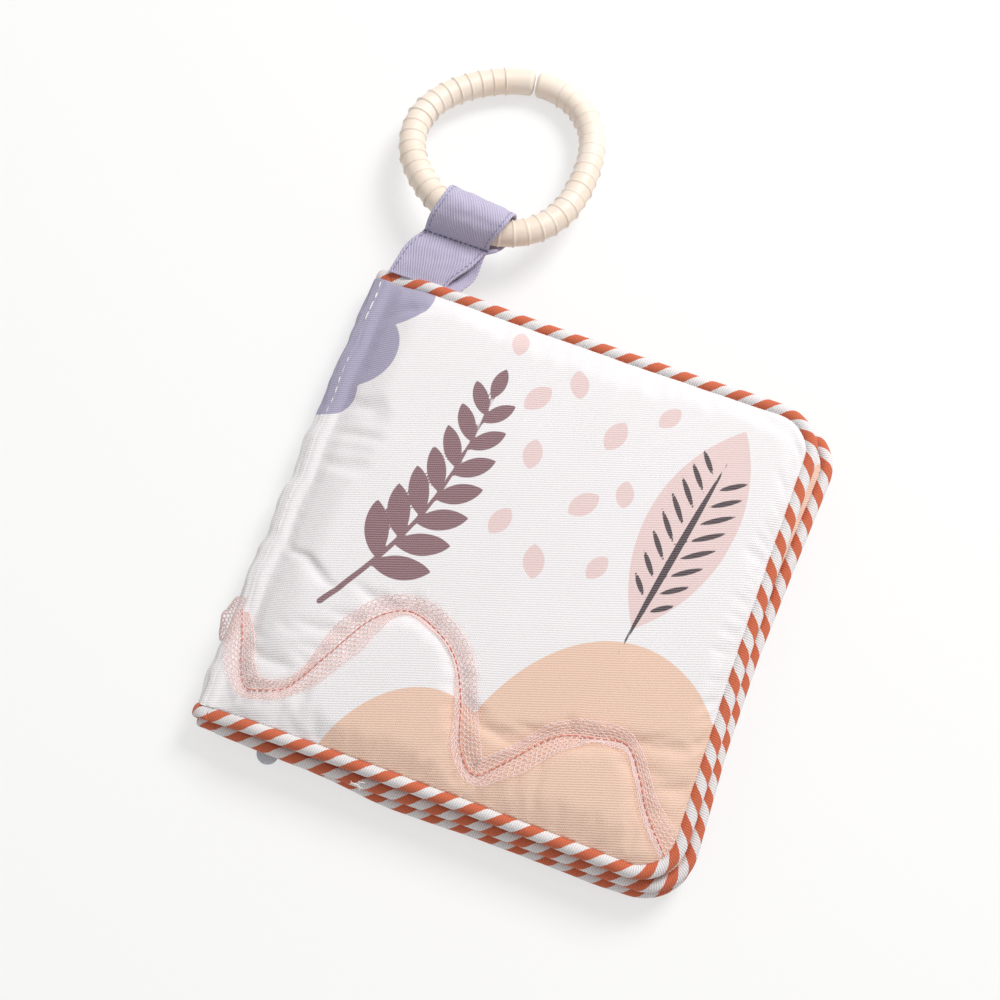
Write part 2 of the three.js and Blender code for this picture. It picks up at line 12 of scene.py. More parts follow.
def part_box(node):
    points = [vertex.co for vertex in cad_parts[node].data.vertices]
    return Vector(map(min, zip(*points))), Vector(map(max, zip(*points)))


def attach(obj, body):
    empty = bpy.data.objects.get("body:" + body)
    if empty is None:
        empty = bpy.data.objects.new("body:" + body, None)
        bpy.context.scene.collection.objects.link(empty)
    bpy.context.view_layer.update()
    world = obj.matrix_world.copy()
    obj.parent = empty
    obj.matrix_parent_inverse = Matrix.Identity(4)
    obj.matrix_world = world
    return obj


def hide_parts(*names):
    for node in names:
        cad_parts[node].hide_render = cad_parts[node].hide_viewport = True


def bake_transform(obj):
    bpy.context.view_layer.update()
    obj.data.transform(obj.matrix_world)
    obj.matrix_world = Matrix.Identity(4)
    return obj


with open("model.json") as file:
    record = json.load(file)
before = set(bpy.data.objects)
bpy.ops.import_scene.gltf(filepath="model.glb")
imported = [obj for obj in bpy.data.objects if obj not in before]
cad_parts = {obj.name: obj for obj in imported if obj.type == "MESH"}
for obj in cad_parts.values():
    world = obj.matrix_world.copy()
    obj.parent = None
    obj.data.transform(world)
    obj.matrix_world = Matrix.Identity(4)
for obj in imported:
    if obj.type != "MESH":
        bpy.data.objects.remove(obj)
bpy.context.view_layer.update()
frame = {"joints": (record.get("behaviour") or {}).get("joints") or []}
scene = bpy.context.scene
mm = 0.001
noiseSeed = 7
noise.seed_set(noiseSeed)  # unseeded, noise_vector would start from the clock

# Book millimetres: x from the hinge line, y from the middle of the cover, z from the table
jointPlaces = {joint["name"]: Vector(joint["pos_m"]) for joint in frame["joints"]}
hinge = jointPlaces["front_cover_turn"]
axisHeight = hinge.z / mm


def inFrame(points):
    return np.asarray(points, float) * mm + np.array((hinge.x, hinge.y, 0.0))


def inBook(place):
    return np.array(((place.x - hinge.x) / mm, (place.y - hinge.y) / mm, place.z / mm))


cameraView = {
    "elevation": 74.61,
    "azimuth": 20.42,
    "distance": 502.1,
    "target": (59.73, 18.41, 10.0),
    "focalPixels": 1600.0,
    "imagePixels": 1000.0,
    "sensorWidth": 36.0,
}


def towards(azimuth, elevation):
    turn = math.radians(azimuth)
    rise = math.radians(elevation)
    return Vector((math.sin(turn) * math.cos(rise), -math.cos(turn) * math.cos(rise), math.sin(rise)))


def addCamera():
    lens = bpy.data.cameras.new("bookCamera")
    lens.sensor_width = cameraView["sensorWidth"]
    lens.lens = cameraView["focalPixels"] / cameraView["imagePixels"] * cameraView["sensorWidth"]
    camera = bpy.data.objects.new("bookCamera", lens)
    back = towards(cameraView["azimuth"], cameraView["elevation"])
    camera.location = Vector(inFrame(cameraView["target"])) + back * cameraView["distance"] * mm
    camera.rotation_euler = back.to_track_quat("Z", "Y").to_euler()
    scene.collection.objects.link(camera)
    scene.camera = camera


addCamera()
print("camera placed")

# Node helpers


def addNode(tree, kind, inputs=None, **settings):
    made = tree.nodes.new(kind)
    for name, value in settings.items():
        setattr(made, name, value)
    for key, value in (inputs or {}).items():
        if isinstance(value, bpy.types.NodeSocket):
            tree.links.new(value, made.inputs[key])
        else:
            made.inputs[key].default_value = value
    return made


def calc(tree, operation, *values):
    made = addNode(tree, "ShaderNodeMath", dict(enumerate(values)), operation=operation)
    return made.outputs[0]


def softEdge(tree, value, low, high):
    made = addNode(tree, "ShaderNodeMapRange", {0: value, 1: low, 2: high},
                   interpolation_type="SMOOTHSTEP")
    return made.outputs[0]


def mixColour(tree, share, first, second, blend="MIX"):
    made = addNode(tree, "ShaderNodeMix", {0: share, 6: first, 7: second},
                   data_type="RGBA", blend_type=blend)
    return made.outputs[2]


def newGroup(name, kind, inputs, outputs):
    group = bpy.data.node_groups.new(name, kind)
    for label, socketType, value in inputs:
        socket = group.interface.new_socket(name=label, in_out="INPUT", socket_type=socketType)
        if value is not None:
            socket.default_value = value
    for label, socketType in outputs:
        group.interface.new_socket(name=label, in_out="OUTPUT", socket_type=socketType)
    return group, group.nodes.new("NodeGroupInput").outputs, group.nodes.new("NodeGroupOutput").inputs


def fromHex(code):
    parts = [int(code[k:k + 2], 16) / 255 for k in (0, 2, 4)]
    return (*[(p / 12.92 if p <= 0.04045 else ((p + 0.055) / 1.055) ** 2.4) for p in parts], 1.0)


# Woven cloth: slanted ridges at an even spacing, broken up by the yarns that cross them


weaveSizes = {
    "driftScale": 0.09,
    "crossSlant": 0.5,
    "fibreScale": 2.2,
    "fibreBreak": 1.2,
    "ridgeSwing": 0.4,
    "fibreRise": 0.5,
    "cloudScale": 0.035,
    "cloudShare": 0.7,
    "fibreShare": 0.3,
}


def noiseOn(tree, place, scale, detail=2.0):
    made = addNode(tree, "ShaderNodeTexNoise", {"Vector": place, "Scale": scale, "Detail": detail})
    return made.outputs[0]


def buildWeaveGroup():
    group, given, result = newGroup("wovenRidges", "ShaderNodeTree", [
        ("Place", "NodeSocketVector", None),
        ("Line Spacing", "NodeSocketFloat", 0.7),
        ("Line Angle", "NodeSocketFloat", 0.0),
        ("Wander", "NodeSocketFloat", 0.3),
        ("Yarn Share", "NodeSocketFloat", 0.25),
    ], [("Ridge", "NodeSocketFloat"), ("Height", "NodeSocketFloat"), ("Dye", "NodeSocketFloat")])
    back = calc(group, "MULTIPLY", given["Line Angle"], -1.0)
    turned = addNode(group, "ShaderNodeVectorRotate", {"Vector": given["Place"], "Angle": back},
                     rotation_type="Z_AXIS")
    parts = addNode(group, "ShaderNodeSeparateXYZ", {0: turned.outputs[0]}).outputs
    drift = noiseOn(group, given["Place"], weaveSizes["driftScale"])
    sway = calc(group, "MULTIPLY", calc(group, "SUBTRACT", drift, 0.5), given["Wander"])
    across = calc(group, "DIVIDE", calc(group, "ADD", parts[1], sway), given["Line Spacing"])
    ridge = calc(group, "SINE", calc(group, "MULTIPLY", across, math.tau))
    along = calc(group, "DIVIDE", parts[0], given["Line Spacing"])
    slant = calc(group, "MULTIPLY_ADD", across, weaveSizes["crossSlant"], along)
    yarn = calc(group, "SINE", calc(group, "MULTIPLY", slant, math.tau))
    both = calc(group, "MULTIPLY_ADD", yarn, given["Yarn Share"], ridge)
    fibre = noiseOn(group, given["Place"], weaveSizes["fibreScale"], 3.0)
    broken = calc(group, "MULTIPLY_ADD", calc(group, "SUBTRACT", fibre, 0.5), weaveSizes["fibreBreak"], both)
    level = calc(group, "MULTIPLY_ADD", broken, weaveSizes["ridgeSwing"], 0.5)
    height = calc(group, "MULTIPLY_ADD", fibre, weaveSizes["fibreRise"], level)
    cloudy = noiseOn(group, given["Place"], weaveSizes["cloudScale"], 3.0)
    dye = calc(group, "ADD", calc(group, "MULTIPLY", cloudy, weaveSizes["cloudShare"]),
               calc(group, "MULTIPLY", fibre, weaveSizes["fibreShare"]))
    group.links.new(level, result["Ridge"])
    group.links.new(height, result["Height"])
    group.links.new(dye, result["Dye"])
    return group


weaveGroup = buildWeaveGroup()
clothShader = {
    "sheenRoughness": 0.5,
    "specular": 0.25,
    "ridgeEdges": (0.05, 0.95),
    "dyeRange": (0.3, 0.7),
    "bumpStrength": 0.6,
}


def newCloth(name, roughness, sheen):
    material = bpy.data.materials.new(name)
    material.use_nodes = True
    shader = material.node_tree.nodes["Principled BSDF"]
    shader.inputs["Roughness"].default_value = roughness
    shader.inputs["Sheen Weight"].default_value = sheen
    shader.inputs["Sheen Roughness"].default_value = clothShader["sheenRoughness"]
    shader.inputs["Specular IOR Level"].default_value = clothShader["specular"]
    return material, material.node_tree, shader


def placeOnCloth(tree):
    return addNode(tree, "ShaderNodeUVMap", uv_map="clothPlace").outputs[0]


def weaveOn(tree, place, cloth):
    inputs = {"Place": place, "Line Spacing": cloth["lineSpacing"],
              "Line Angle": math.radians(cloth["lineAngle"]), "Yarn Share": cloth["yarnShare"]}
    return addNode(tree, "ShaderNodeGroup", inputs, node_tree=weaveGroup).outputs


def finishCloth(tree, shader, colour, weave, cloth):
    shade = softEdge(tree, weave["Ridge"], *clothShader["ridgeEdges"])
    darkest = addNode(tree, "ShaderNodeMapRange",
                      {0: shade, 3: 1 - cloth["ridgeShade"], 4: 1.0}).outputs[0]
    low, high = clothShader["dyeRange"]
    patch = addNode(tree, "ShaderNodeMapRange",
                    {0: weave["Dye"], 1: low, 2: high, 3: 1 - cloth["dyeShade"], 4: 1.0}).outputs[0]
    both = calc(tree, "MULTIPLY", darkest, patch)
    grey = addNode(tree, "ShaderNodeCombineColor", {0: both, 1: both, 2: both}).outputs[0]
    tree.links.new(mixColour(tree, 1.0, colour, grey, "MULTIPLY"), shader.inputs["Base Color"])
    bump = addNode(tree, "ShaderNodeBump", {"Strength": clothShader["bumpStrength"],
                                            "Distance": cloth["bumpDepth"] * mm, "Height": weave["Height"]})
    tree.links.new(bump.outputs[0], shader.inputs["Normal"])


printColours = {
    "ground": "f5f1f2",
    "lavender": "a6a0bb",
    "peach": "f0c9b0",
    "blush": "ecd0cd",
    "mauve": "82585f",
    "charcoal": "37323a",
    "inkEdge": 0.12,
    "wornShare": 0.22,
    "lineSpacing": 0.72,
    "lineAngle": 19.2,
    "ridgeShade": 0.085,
    "yarnShare": 0.25,
    "dyeShade": 0.03,
    "bumpDepth": 0.17,
}
inkNames = ["lavender", "peach", "blush", "mauve", "charcoal"]


def makePrintedTwill():
    material, tree, shader = newCloth("printedTwill", 0.92, 0.08)
    weave = weaveOn(tree, placeOnCloth(tree), printColours)
    worn = calc(tree, "SUBTRACT", 1.0, calc(tree, "MULTIPLY", weave["Ridge"], printColours["wornShare"]))
    colour = fromHex(printColours["ground"])
    for ink in inkNames:
        depth = addNode(tree, "ShaderNodeAttribute", attribute_name=ink).outputs["Fac"]
        mask = softEdge(tree, depth, -printColours["inkEdge"], printColours["inkEdge"])
        colour = mixColour(tree, calc(tree, "MULTIPLY", mask, worn), colour, fromHex(printColours[ink]))
    finishCloth(tree, shader, colour, weave, printColours)
    return material


pipingCloth = {
    "rust": "da7150",
    "white": "f5f0ef",
    "stripePeriod": 9.1,
    "biasShare": 1.0,
    "stripeEdge": 0.012,
    "waverScale": 0.9,
    "waver": 0.5,
    "lineSpacing": 0.72,
    "lineAngle": 96.0,
    "yarnShare": 0.25,
    "ridgeShade": 0.22,
    "dyeShade": 0.05,
    "bumpDepth": 0.22,
}


def makeStripedTape():
    material, tree, shader = newCloth("stripedTape", 0.85, 0.1)
    place = placeOnCloth(tree)
    parts = addNode(tree, "ShaderNodeSeparateXYZ", {0: place}).outputs
    slant = calc(tree, "MULTIPLY_ADD", parts[1], pipingCloth["biasShare"], parts[0])
    waver = noiseOn(tree, place, pipingCloth["waverScale"])
    uneven = calc(tree, "MULTIPLY_ADD", waver, pipingCloth["waver"], slant)
    turn = calc(tree, "FRACT", calc(tree, "DIVIDE", uneven, pipingCloth["stripePeriod"]))
    middle = calc(tree, "ABSOLUTE", calc(tree, "SUBTRACT", turn, 0.5))
    edge = pipingCloth["stripeEdge"]
    mask = softEdge(tree, middle, 0.25 - edge, 0.25 + edge)
    colour = mixColour(tree, mask, fromHex(pipingCloth["white"]), fromHex(pipingCloth["rust"]))
    finishCloth(tree, shader, colour, weaveOn(tree, place, pipingCloth), pipingCloth)
    return material


strapCloth = {"colour": "ccc5de", "lineSpacing": 0.78, "lineAngle": 124, "yarnShare": 0.5,
              "ridgeShade": 0.26, "dyeShade": 0.06, "bumpDepth": 0.25}
tabCloth = {"colour": "e3e8f2", "lineSpacing": 0.6, "lineAngle": 20, "yarnShare": 0.3,
            "ridgeShade": 0.2, "dyeShade": 0.06, "bumpDepth": 0.12}


def makePlainTwill(name, cloth):
    material, tree, shader = newCloth(name, 0.88, 0.12)
    weave = weaveOn(tree, placeOnCloth(tree), cloth)
    finishCloth(tree, shader, fromHex(cloth["colour"]), weave, cloth)
    return material


# The fold loop is the same pale pink netting as the ribbon; its loop colour is that netting darkened and
# greyed as painted shade, for the shade the loop lies in on the fold.
netting = {"colour": "ffe7e2", "shadedLoopColour": "e4ccc9", "alpha": 0.82, "shadowAlpha": 0.14}
threadPly = {"scale": 900.0, "shade": 0.85}


def makeNetting(name, colour):
    material, tree = makeThread(name, colour)
    shadow = addNode(tree, "ShaderNodeLightPath").outputs["Is Shadow Ray"]
    alpha = addNode(tree, "ShaderNodeMapRange",
                    {0: shadow, 3: netting["alpha"], 4: netting["shadowAlpha"]}).outputs[0]
    tree.links.new(alpha, tree.nodes["Principled BSDF"].inputs["Alpha"])
    return material


def makeThread(name, colour):
    material, tree, shader = newCloth(name, 0.7, 0.1)
    place = addNode(tree, "ShaderNodeTexCoord").outputs["Object"]
    ply = noiseOn(tree, place, threadPly["scale"])
    dark = tuple(threadPly["shade"] * part for part in fromHex(colour)[:3]) + (1.0,)
    tree.links.new(mixColour(tree, ply, dark, fromHex(colour)), shader.inputs["Base Color"])
    return material, tree


ringPlastic = {
    "colour": "f1e4d7",
    "recess": "ebd9c7",
    "roughness": 0.42,
    "cloudScale": 60.0,
    "grainScale": 1800.0,
    "grainDepth": 0.05,
    "grainStrength": 0.15,
    "subsurface": 0.15,
    "subsurfaceRadius": (0.003, 0.002, 0.0012),
}


def makeRingPlastic():
    material = bpy.data.materials.new("ivoryPlastic")
    material.use_nodes = True
    tree = material.node_tree
    shader = tree.nodes["Principled BSDF"]
    place = addNode(tree, "ShaderNodeTexCoord").outputs["Object"]
    cloudy = noiseOn(tree, place, ringPlastic["cloudScale"], 4.0)
    fine = noiseOn(tree, place, ringPlastic["grainScale"])
    tint = softEdge(tree, cloudy, 0.3, 0.7)
    colour = mixColour(tree, tint, fromHex(ringPlastic["recess"]), fromHex(ringPlastic["colour"]))
    tree.links.new(colour, shader.inputs["Base Color"])
    rough = addNode(tree, "ShaderNodeMapRange", {0: cloudy, 3: ringPlastic["roughness"] - 0.05,
                                                 4: ringPlastic["roughness"] + 0.1}).outputs[0]
    tree.links.new(rough, shader.inputs["Roughness"])
    bump = addNode(tree, "ShaderNodeBump", {"Strength": ringPlastic["grainStrength"],
                                            "Distance": ringPlastic["grainDepth"] * mm, "Height": fine})
    tree.links.new(bump.outputs[0], shader.inputs["Normal"])
    shader.inputs["Subsurface Weight"].default_value = ringPlastic["subsurface"]
    shader.inputs["Subsurface Radius"].default_value = ringPlastic["subsurfaceRadius"]
    shader.inputs["Subsurface Scale"].default_value = 1.0
    return material


twill = makePrintedTwill()
tape = makeStripedTape()
strapTwill = makePlainTwill("lavenderTwill", strapCloth)
tabCotton = makePlainTwill("greyBlueCotton", tabCloth)
ribbonNet = makeNetting("palePinkNet", netting["colour"])
# The fold loop's netting: the ribbon's netting in a darker, greyer colour, which is painted shade.
shadedLoopNet = makeNetting("shadedPinkNet", netting["shadedLoopColour"])
ribbonThread = makeThread("salmonThread", "e58472")[0]
seamThread = makeThread("whiteThread", "f5f2f0")[0]
strapThread = makeThread("lavenderThread", "8e89a8")[0]
waistThread = makeThread("greyVioletThread", "6f6a86")[0]
ivory = makeRingPlastic()
print("materials made")

# Leaves: the sizes that the frame was made with, in book millimetres

bookSizes = {
    "coverHeight": 155.0,
    "coverReach": 149.0,
    "pageReach": 154.0,
    "cornerRadius": 16.0,
    "pipingRadius": 2.2,
    "clearance": 0.3,
    "edgeHalf": 1.0,
    "edgeRoll": 9.0,
    "drawIn": 0.8,
    "seamHalf": 1.05,
    "taper": 16.0,
    "rollRadius": 4.65,
    "rootRadius": 4.75,
    "flapRadius": 5.05,
    "flapStart": -1.65,
    "backFlapStart": 1.9,
    "flapBlendEnd": 2.5,
    "panelInset": 3.8,
    "pageSlip": 2.2,
    "crown": 1.5,
}
seamHalf = bookSizes["seamHalf"]
leafHalf = bookSizes["pipingRadius"]
leafPitch = 2 * leafHalf + bookSizes["clearance"]
seamPitch = 2 * seamHalf + bookSizes["clearance"]
flatStart = seamHalf + bookSizes["taper"]
lowerPageSag = [(0, 0), (0.08, 0.7), (0.28, 1.4), (0.38, 3.2), (0.46, 3.1), (0.57, 2.3), (0.7, 2.0),
                (0.84, 2.0), (0.93, 0.7), (1, 0)]
upperPageSag = [(0, 0), (0.08, 1.0), (0.2, 1.5), (0.45, 1.3), (0.6, 1.0), (0.85, 1.0), (0.95, 0.4), (1, 0)]
leaves = {
    "back_cover": {"place": 0, "reach": bookSizes["coverReach"], "slip": 0.0, "fan": 2.4},
    "lower_page": {"place": 1, "reach": bookSizes["pageReach"], "slip": bookSizes["pageSlip"], "fan": 0.8,
                   "sag": lowerPageSag},
    "upper_page": {"place": 2, "reach": bookSizes["pageReach"], "slip": bookSizes["pageSlip"], "fan": -0.6,
                   "sag": upperPageSag},
    "front_cover": {"place": 3, "reach": bookSizes["coverReach"], "slip": 0.0, "fan": 0.0},
}
pageForeLean = [(-77, -0.3), (-64, -0.9), (-55, -1.6), (-45, -2.2), (-20, -2.3), (-3, -2.0), (14, -1.4),
                (32, -0.3), (45, 0.7), (60, 1.3), (77, 1.1)]


def smooth(share):
    s = np.clip(share, 0, 1)
    return s * s * (3 - 2 * s)


def opening(x):
    return smooth((x - seamHalf) / bookSizes["taper"])


def pitchAt(x):
    return seamPitch + (leafPitch - seamPitch) * opening(x)


def halfAt(x):
    return seamHalf + (leafHalf - seamHalf) * opening(x)


def softTable(table, at, blur):
    places, values = zip(*table)
    return sum(np.interp(at + k * blur / 3, places, values) for k in range(-3, 4)) / 7


def settle(leaf, points):
    along = np.clip(points[..., 0] / leaf["reach"], 0, 1)
    across = points[..., 1] / bookSizes["coverHeight"]
    pull = bookSizes["drawIn"] * np.sin(math.pi * along) * 2 * across
    bow = bookSizes["drawIn"] * along * np.cos(math.pi * across)
    moved = points.copy()
    moved[..., 0] -= bow
    moved[..., 1] -= pull + leaf["slip"] + leaf["fan"] * along
    if "sag" in leaf:  # a loose page stands out unevenly past the cover at the foot and the fore edge
        moved[..., 1] -= softTable(leaf["sag"], along, 0.04) * smooth((-2 * across - 0.2) / 0.8)
        moved[..., 0] += softTable(pageForeLean, points[..., 1], 6) * smooth((along - 0.3) / 0.7)
    return moved


def panelHalfHeight(leaf, x):
    inset = bookSizes["panelInset"]
    radius = bookSizes["cornerRadius"] - inset
    past = np.clip(x - (leaf["reach"] - inset - radius), 0, radius)
    return bookSizes["coverHeight"] / 2 - inset - radius + np.sqrt(radius ** 2 - past ** 2)


# Nets of points over the faces: columns stand close at the root, rows and columns close at the edges

edgeSteps = [0.0, 0.4, 1.1, 2.1, 3.4, 5.0]
rootSteps = {"flapEnd": 3.2, "flapStep": 0.5, "pageStart": 5.6, "share": 0.8}


def spread(low, high, spacing):
    return list(np.linspace(low, high, max(2, round((high - low) / spacing)) + 1))


def leafColumns(leaf, flapStart, spacing):
    far = leaf["reach"] - bookSizes["panelInset"]
    rootSpacing = spacing * rootSteps["share"]
    if flapStart is not None:
        flap = spread(flapStart, rootSteps["flapEnd"], rootSteps["flapStep"])
        start = flap + spread(rootSteps["flapEnd"], flatStart, rootSpacing)[1:]
    else:
        start = [bookSizes["rootRadius"]] + spread(rootSteps["pageStart"], flatStart, rootSpacing)
    middle = spread(flatStart, far - edgeSteps[-1], spacing)[1:]
    return np.array(start + middle + [far - step for step in reversed(edgeSteps[:-1])])


def leafRows(spacing):
    half = bookSizes["coverHeight"] / 2 - bookSizes["panelInset"]
    inner = half - edgeSteps[-1]
    middle = spread(-inner, inner, spacing)
    low = [-(half - step) for step in edgeSteps[:-1]]
    return np.array(low + middle + [-value for value in reversed(low)]) / half


def faceRise(x, edge):
    rise = np.sin(np.minimum(edge / bookSizes["edgeRoll"], 1) * math.pi / 2)
    rounded = bookSizes["edgeHalf"] + (leafHalf - bookSizes["edgeHalf"]) * rise
    return np.where(edge <= 0, 0, np.minimum(halfAt(x), rounded))


def leafNet(leaf, xs, rows):
    half = panelHalfHeight(leaf, xs)
    x = np.repeat(xs[:, None], len(rows), axis=1)
    y = half[:, None] * rows[None, :]
    far = leaf["reach"] - bookSizes["panelInset"]
    edge = np.minimum(far - x, half[:, None] - np.abs(y))
    edge = np.where((edge > 0) & (np.arange(len(xs))[:, None] < len(xs) - 1), edge, 0)
    edge[:, 0] = 0
    edge[:, -1] = 0
    return x, y, edge


coverFlap = {"sunk": 0.15, "swell": 1.8, "soft": 0.35, "leafStart": 4.02}


def coverSides(x, edge, crown):
    rise = faceRise(x, edge)
    middle = 1.5 * pitchAt(x)
    least = bookSizes["rollRadius"] - coverFlap["sunk"]
    swell = smooth((x - x.min()) / coverFlap["swell"])
    flapRadius = least + (bookSizes["flapRadius"] - least) * swell
    flap = np.sqrt(np.maximum(flapRadius ** 2 - x ** 2, 0.01))
    soft = coverFlap["soft"]
    face = middle + rise + crown
    outer = np.maximum(face, flap) + soft * np.exp(-np.abs(face - flap) / soft) / 2
    root = np.sqrt(np.maximum(bookSizes["rootRadius"] ** 2 - x ** 2, 0))
    inner = np.where(x < coverFlap["leafStart"], root, middle - rise)
    rim = edge <= 0
    meet = np.where(x < coverFlap["leafStart"], (flap + root) / 2, middle)
    return np.where(rim, meet, outer), np.where(rim, meet, inner)


def gridMesh(name, top, bottom, flatPlaces, material):
    columns, rows = top.shape[:2]
    points = np.concatenate([top.reshape(-1, 3), bottom.reshape(-1, 3)])
    index = np.arange(columns * rows).reshape(columns, rows)
    low = index + columns * rows
    a, b, c, d = index[:-1, :-1], index[1:, :-1], index[1:, 1:], index[:-1, 1:]
    faces = [np.stack([a, b, c, d], -1).reshape(-1, 4)]
    a, b, c, d = low[:-1, :-1], low[:-1, 1:], low[1:, 1:], low[1:, :-1]
    faces.append(np.stack([a, b, c, d], -1).reshape(-1, 4))
    faces.append(np.stack([index[0, :-1], index[0, 1:], low[0, 1:], low[0, :-1]], -1))
    faces = np.concatenate(faces)
    mesh = bpy.data.meshes.new(name)
    mesh.from_pydata(inFrame(points).tolist(), [], faces.tolist())
    uv = mesh.uv_layers.new(name="clothPlace")
    flat = np.concatenate([flatPlaces.reshape(-1, 2)] * 2)
    uv.data.foreach_set("uv", flat[faces.reshape(-1)].astype(np.float32).reshape(-1))
    place = mesh.attributes.new("flatPlace", "FLOAT_VECTOR", "POINT")
    side = np.concatenate([np.ones(columns * rows), -np.ones(columns * rows)])
    packed = np.concatenate([flat, side[:, None]], axis=1)
    place.data.foreach_set("vector", packed.astype(np.float32).reshape(-1))
    return linkMesh(name, mesh, material)


def linkMesh(name, mesh, material):
    mesh.materials.clear()
    mesh.materials.append(material)
    piece = bpy.data.objects.new(name, mesh)
    scene.collection.objects.link(piece)
    for polygon in mesh.polygons:
        polygon.use_smooth = True
    return piece


def bakeModifiers(piece):
    graph = bpy.context.evaluated_depsgraph_get()
    graph.update()
    mesh = bpy.data.meshes.new_from_object(piece.evaluated_get(graph), preserve_all_data_layers=True,
                                           depsgraph=graph)
    piece.modifiers.clear()
    old = piece.data
    piece.data = mesh
    bpy.data.meshes.remove(old)
    mesh.name = piece.name
    return piece


def subdivide(piece, mergeDistance):
    weld = piece.modifiers.new("weld", "WELD")
    weld.merge_threshold = mergeDistance * mm
    finer = piece.modifiers.new("finer", "SUBSURF")
    finer.levels = 1
    finer.render_levels = 1
    return bakeModifiers(piece)


# Prints: each ink is a list of shapes in flat cloth millimetres, and its depth inside them is kept


def ellipseDepth(u, v, centre, radii, turn=0.0):
    angle = math.radians(turn)
    du = u - centre[0]
    dv = v - centre[1]
    along = (du * math.cos(angle) + dv * math.sin(angle)) / radii[0]
    across = (dv * math.cos(angle) - du * math.sin(angle)) / radii[1]
    return (1 - np.hypot(along, across)) * min(radii)


def petalDepth(u, v, foot, length, width, turn):
    angle = math.radians(turn)
    du = u - foot[0]
    dv = v - foot[1]
    along = du * math.cos(angle) + dv * math.sin(angle) - length / 2
    across = dv * math.cos(angle) - du * math.sin(angle)
    radius = ((length / 2) ** 2 + (width / 2) ** 2) / width
    return radius - np.hypot(along, np.abs(across) + radius - width / 2)


def strokeDepth(u, v, start, end, widths):
    du = end[0] - start[0]
    dv = end[1] - start[1]
    share = np.clip(((u - start[0]) * du + (v - start[1]) * dv) / (du * du + dv * dv), 0, 1)
    distance = np.hypot(u - start[0] - share * du, v - start[1] - share * dv)
    return (widths[0] + (widths[1] - widths[0]) * share) / 2 - distance


shapeKinds = {"ellipse": ellipseDepth, "petal": petalDepth, "stroke": strokeDepth}
sprig = {"stemShare": 0.24, "stemTaper": 0.04, "firstLeaf": 0.24, "lastLeaf": 0.9, "leafShrink": 0.42,
         "leafStep": 0.014, "leafTurn": 50, "turnStep": 2, "tipShare": 0.6}


def sprigShapes(foot, tip, bend, pairs, leafLength, leafWidth):
    shapes = []
    foot = np.array(foot, float)
    tip = np.array(tip, float)
    reach = np.linalg.norm(tip - foot)
    side = np.array((foot[1] - tip[1], tip[0] - foot[0])) / reach
    spine = [foot + (tip - foot) * s + side * bend * math.sin(math.pi * s) for s in np.linspace(0, 1, 17)]
    thick = leafWidth * sprig["stemShare"]
    taper = sprig["stemTaper"]
    for k in range(len(spine) - 1):
        widths = (thick * (1 - taper * k), thick * (1 - taper - taper * k))
        shapes.append(("stroke", spine[k], spine[k + 1], widths))
    first = sprig["firstLeaf"]
    for k in range(pairs):
        share = first + (sprig["lastLeaf"] - first) * k / (pairs - 1)
        heading = math.degrees(math.atan2(*(tip - foot)[::-1]))
        heading += math.degrees(math.atan(bend * math.pi * math.cos(math.pi * share) / reach))
        size = 1 - sprig["leafShrink"] * k / pairs
        for hand in (-1, 1):
            place = share + sprig["leafStep"] * hand
            start = foot + (tip - foot) * place + side * bend * math.sin(math.pi * place)
            turn = heading + hand * (sprig["leafTurn"] - sprig["turnStep"] * k)
            shapes.append(("petal", start, leafLength * size, leafWidth * size, turn))
    size = sprig["tipShare"]
    shapes.append(("petal", tip - (tip - foot) * 0.02, leafLength * size, leafWidth * size, heading))
    return shapes


veins = {"stemBefore": 9, "stemExtra": 4, "stemWidth": 2.2, "first": 0.13, "span": 0.66, "least": 0.45,
         "swell": 0.55, "stagger": 1.6, "aside": 1.7, "width": 1.7, "turn": 47}


def veinShapes(foot, length, turn, pairs, reach):
    angle = math.radians(turn)
    along = np.array((math.cos(angle), math.sin(angle)))
    side = np.array((-along[1], along[0]))
    foot = np.array(foot, float)
    stemFoot = foot - along * veins["stemBefore"]
    shapes = [("petal", stemFoot, length + veins["stemExtra"], veins["stemWidth"], turn)]
    for k in range(pairs):
        share = veins["first"] + veins["span"] * k / (pairs - 1)
        size = reach * (veins["least"] + veins["swell"] * math.sin(math.pi * share))
        for hand in (-1, 1):
            begin = foot + along * (length * share + veins["stagger"] * hand) + hand * side * veins["aside"]
            shapes.append(("petal", begin, size, veins["width"], turn + hand * veins["turn"]))
    return shapes


frontPrint = {
    "lavender": [
        ("ellipse", (-3, 70), (21, 14), 0),
        ("ellipse", (1, 49), (13, 13), 0),
        ("ellipse", (-5, 33), (11, 9), 0),
    ],
    "peach": [
        ("ellipse", (117, -88), (47, 76), 0),
        ("ellipse", (66, -98), (34, 52), 0),
    ],
    "blush": [
        ("petal", (112, -8), 72, 27, 80),
        ("petal", (58, 46), 11, 6.5, 60),
        ("petal", (73, 55), 10, 6, 110),
        ("petal", (86, 42), 11, 6.5, 75),
        ("petal", (66, 28), 10, 6, 95),
        ("petal", (82, 19), 11, 6.5, 50),
        ("petal", (97, 26), 9, 5.5, 100),
        ("petal", (62, 5), 10, 6, 70),
        ("petal", (79, -4), 11, 6.5, 105),
        ("petal", (94, 2), 9, 5.5, 65),
        ("petal", (99, 55), 9, 5.5, 60),
        ("petal", (50, 62), 9, 5.5, 100),
    ],
    "mauve": sprigShapes((21, -33), (48, 47), -7, 7, 18.5, 7.6),
    "charcoal": veinShapes((112, -8), 66, 80, 8, 12.5),
}
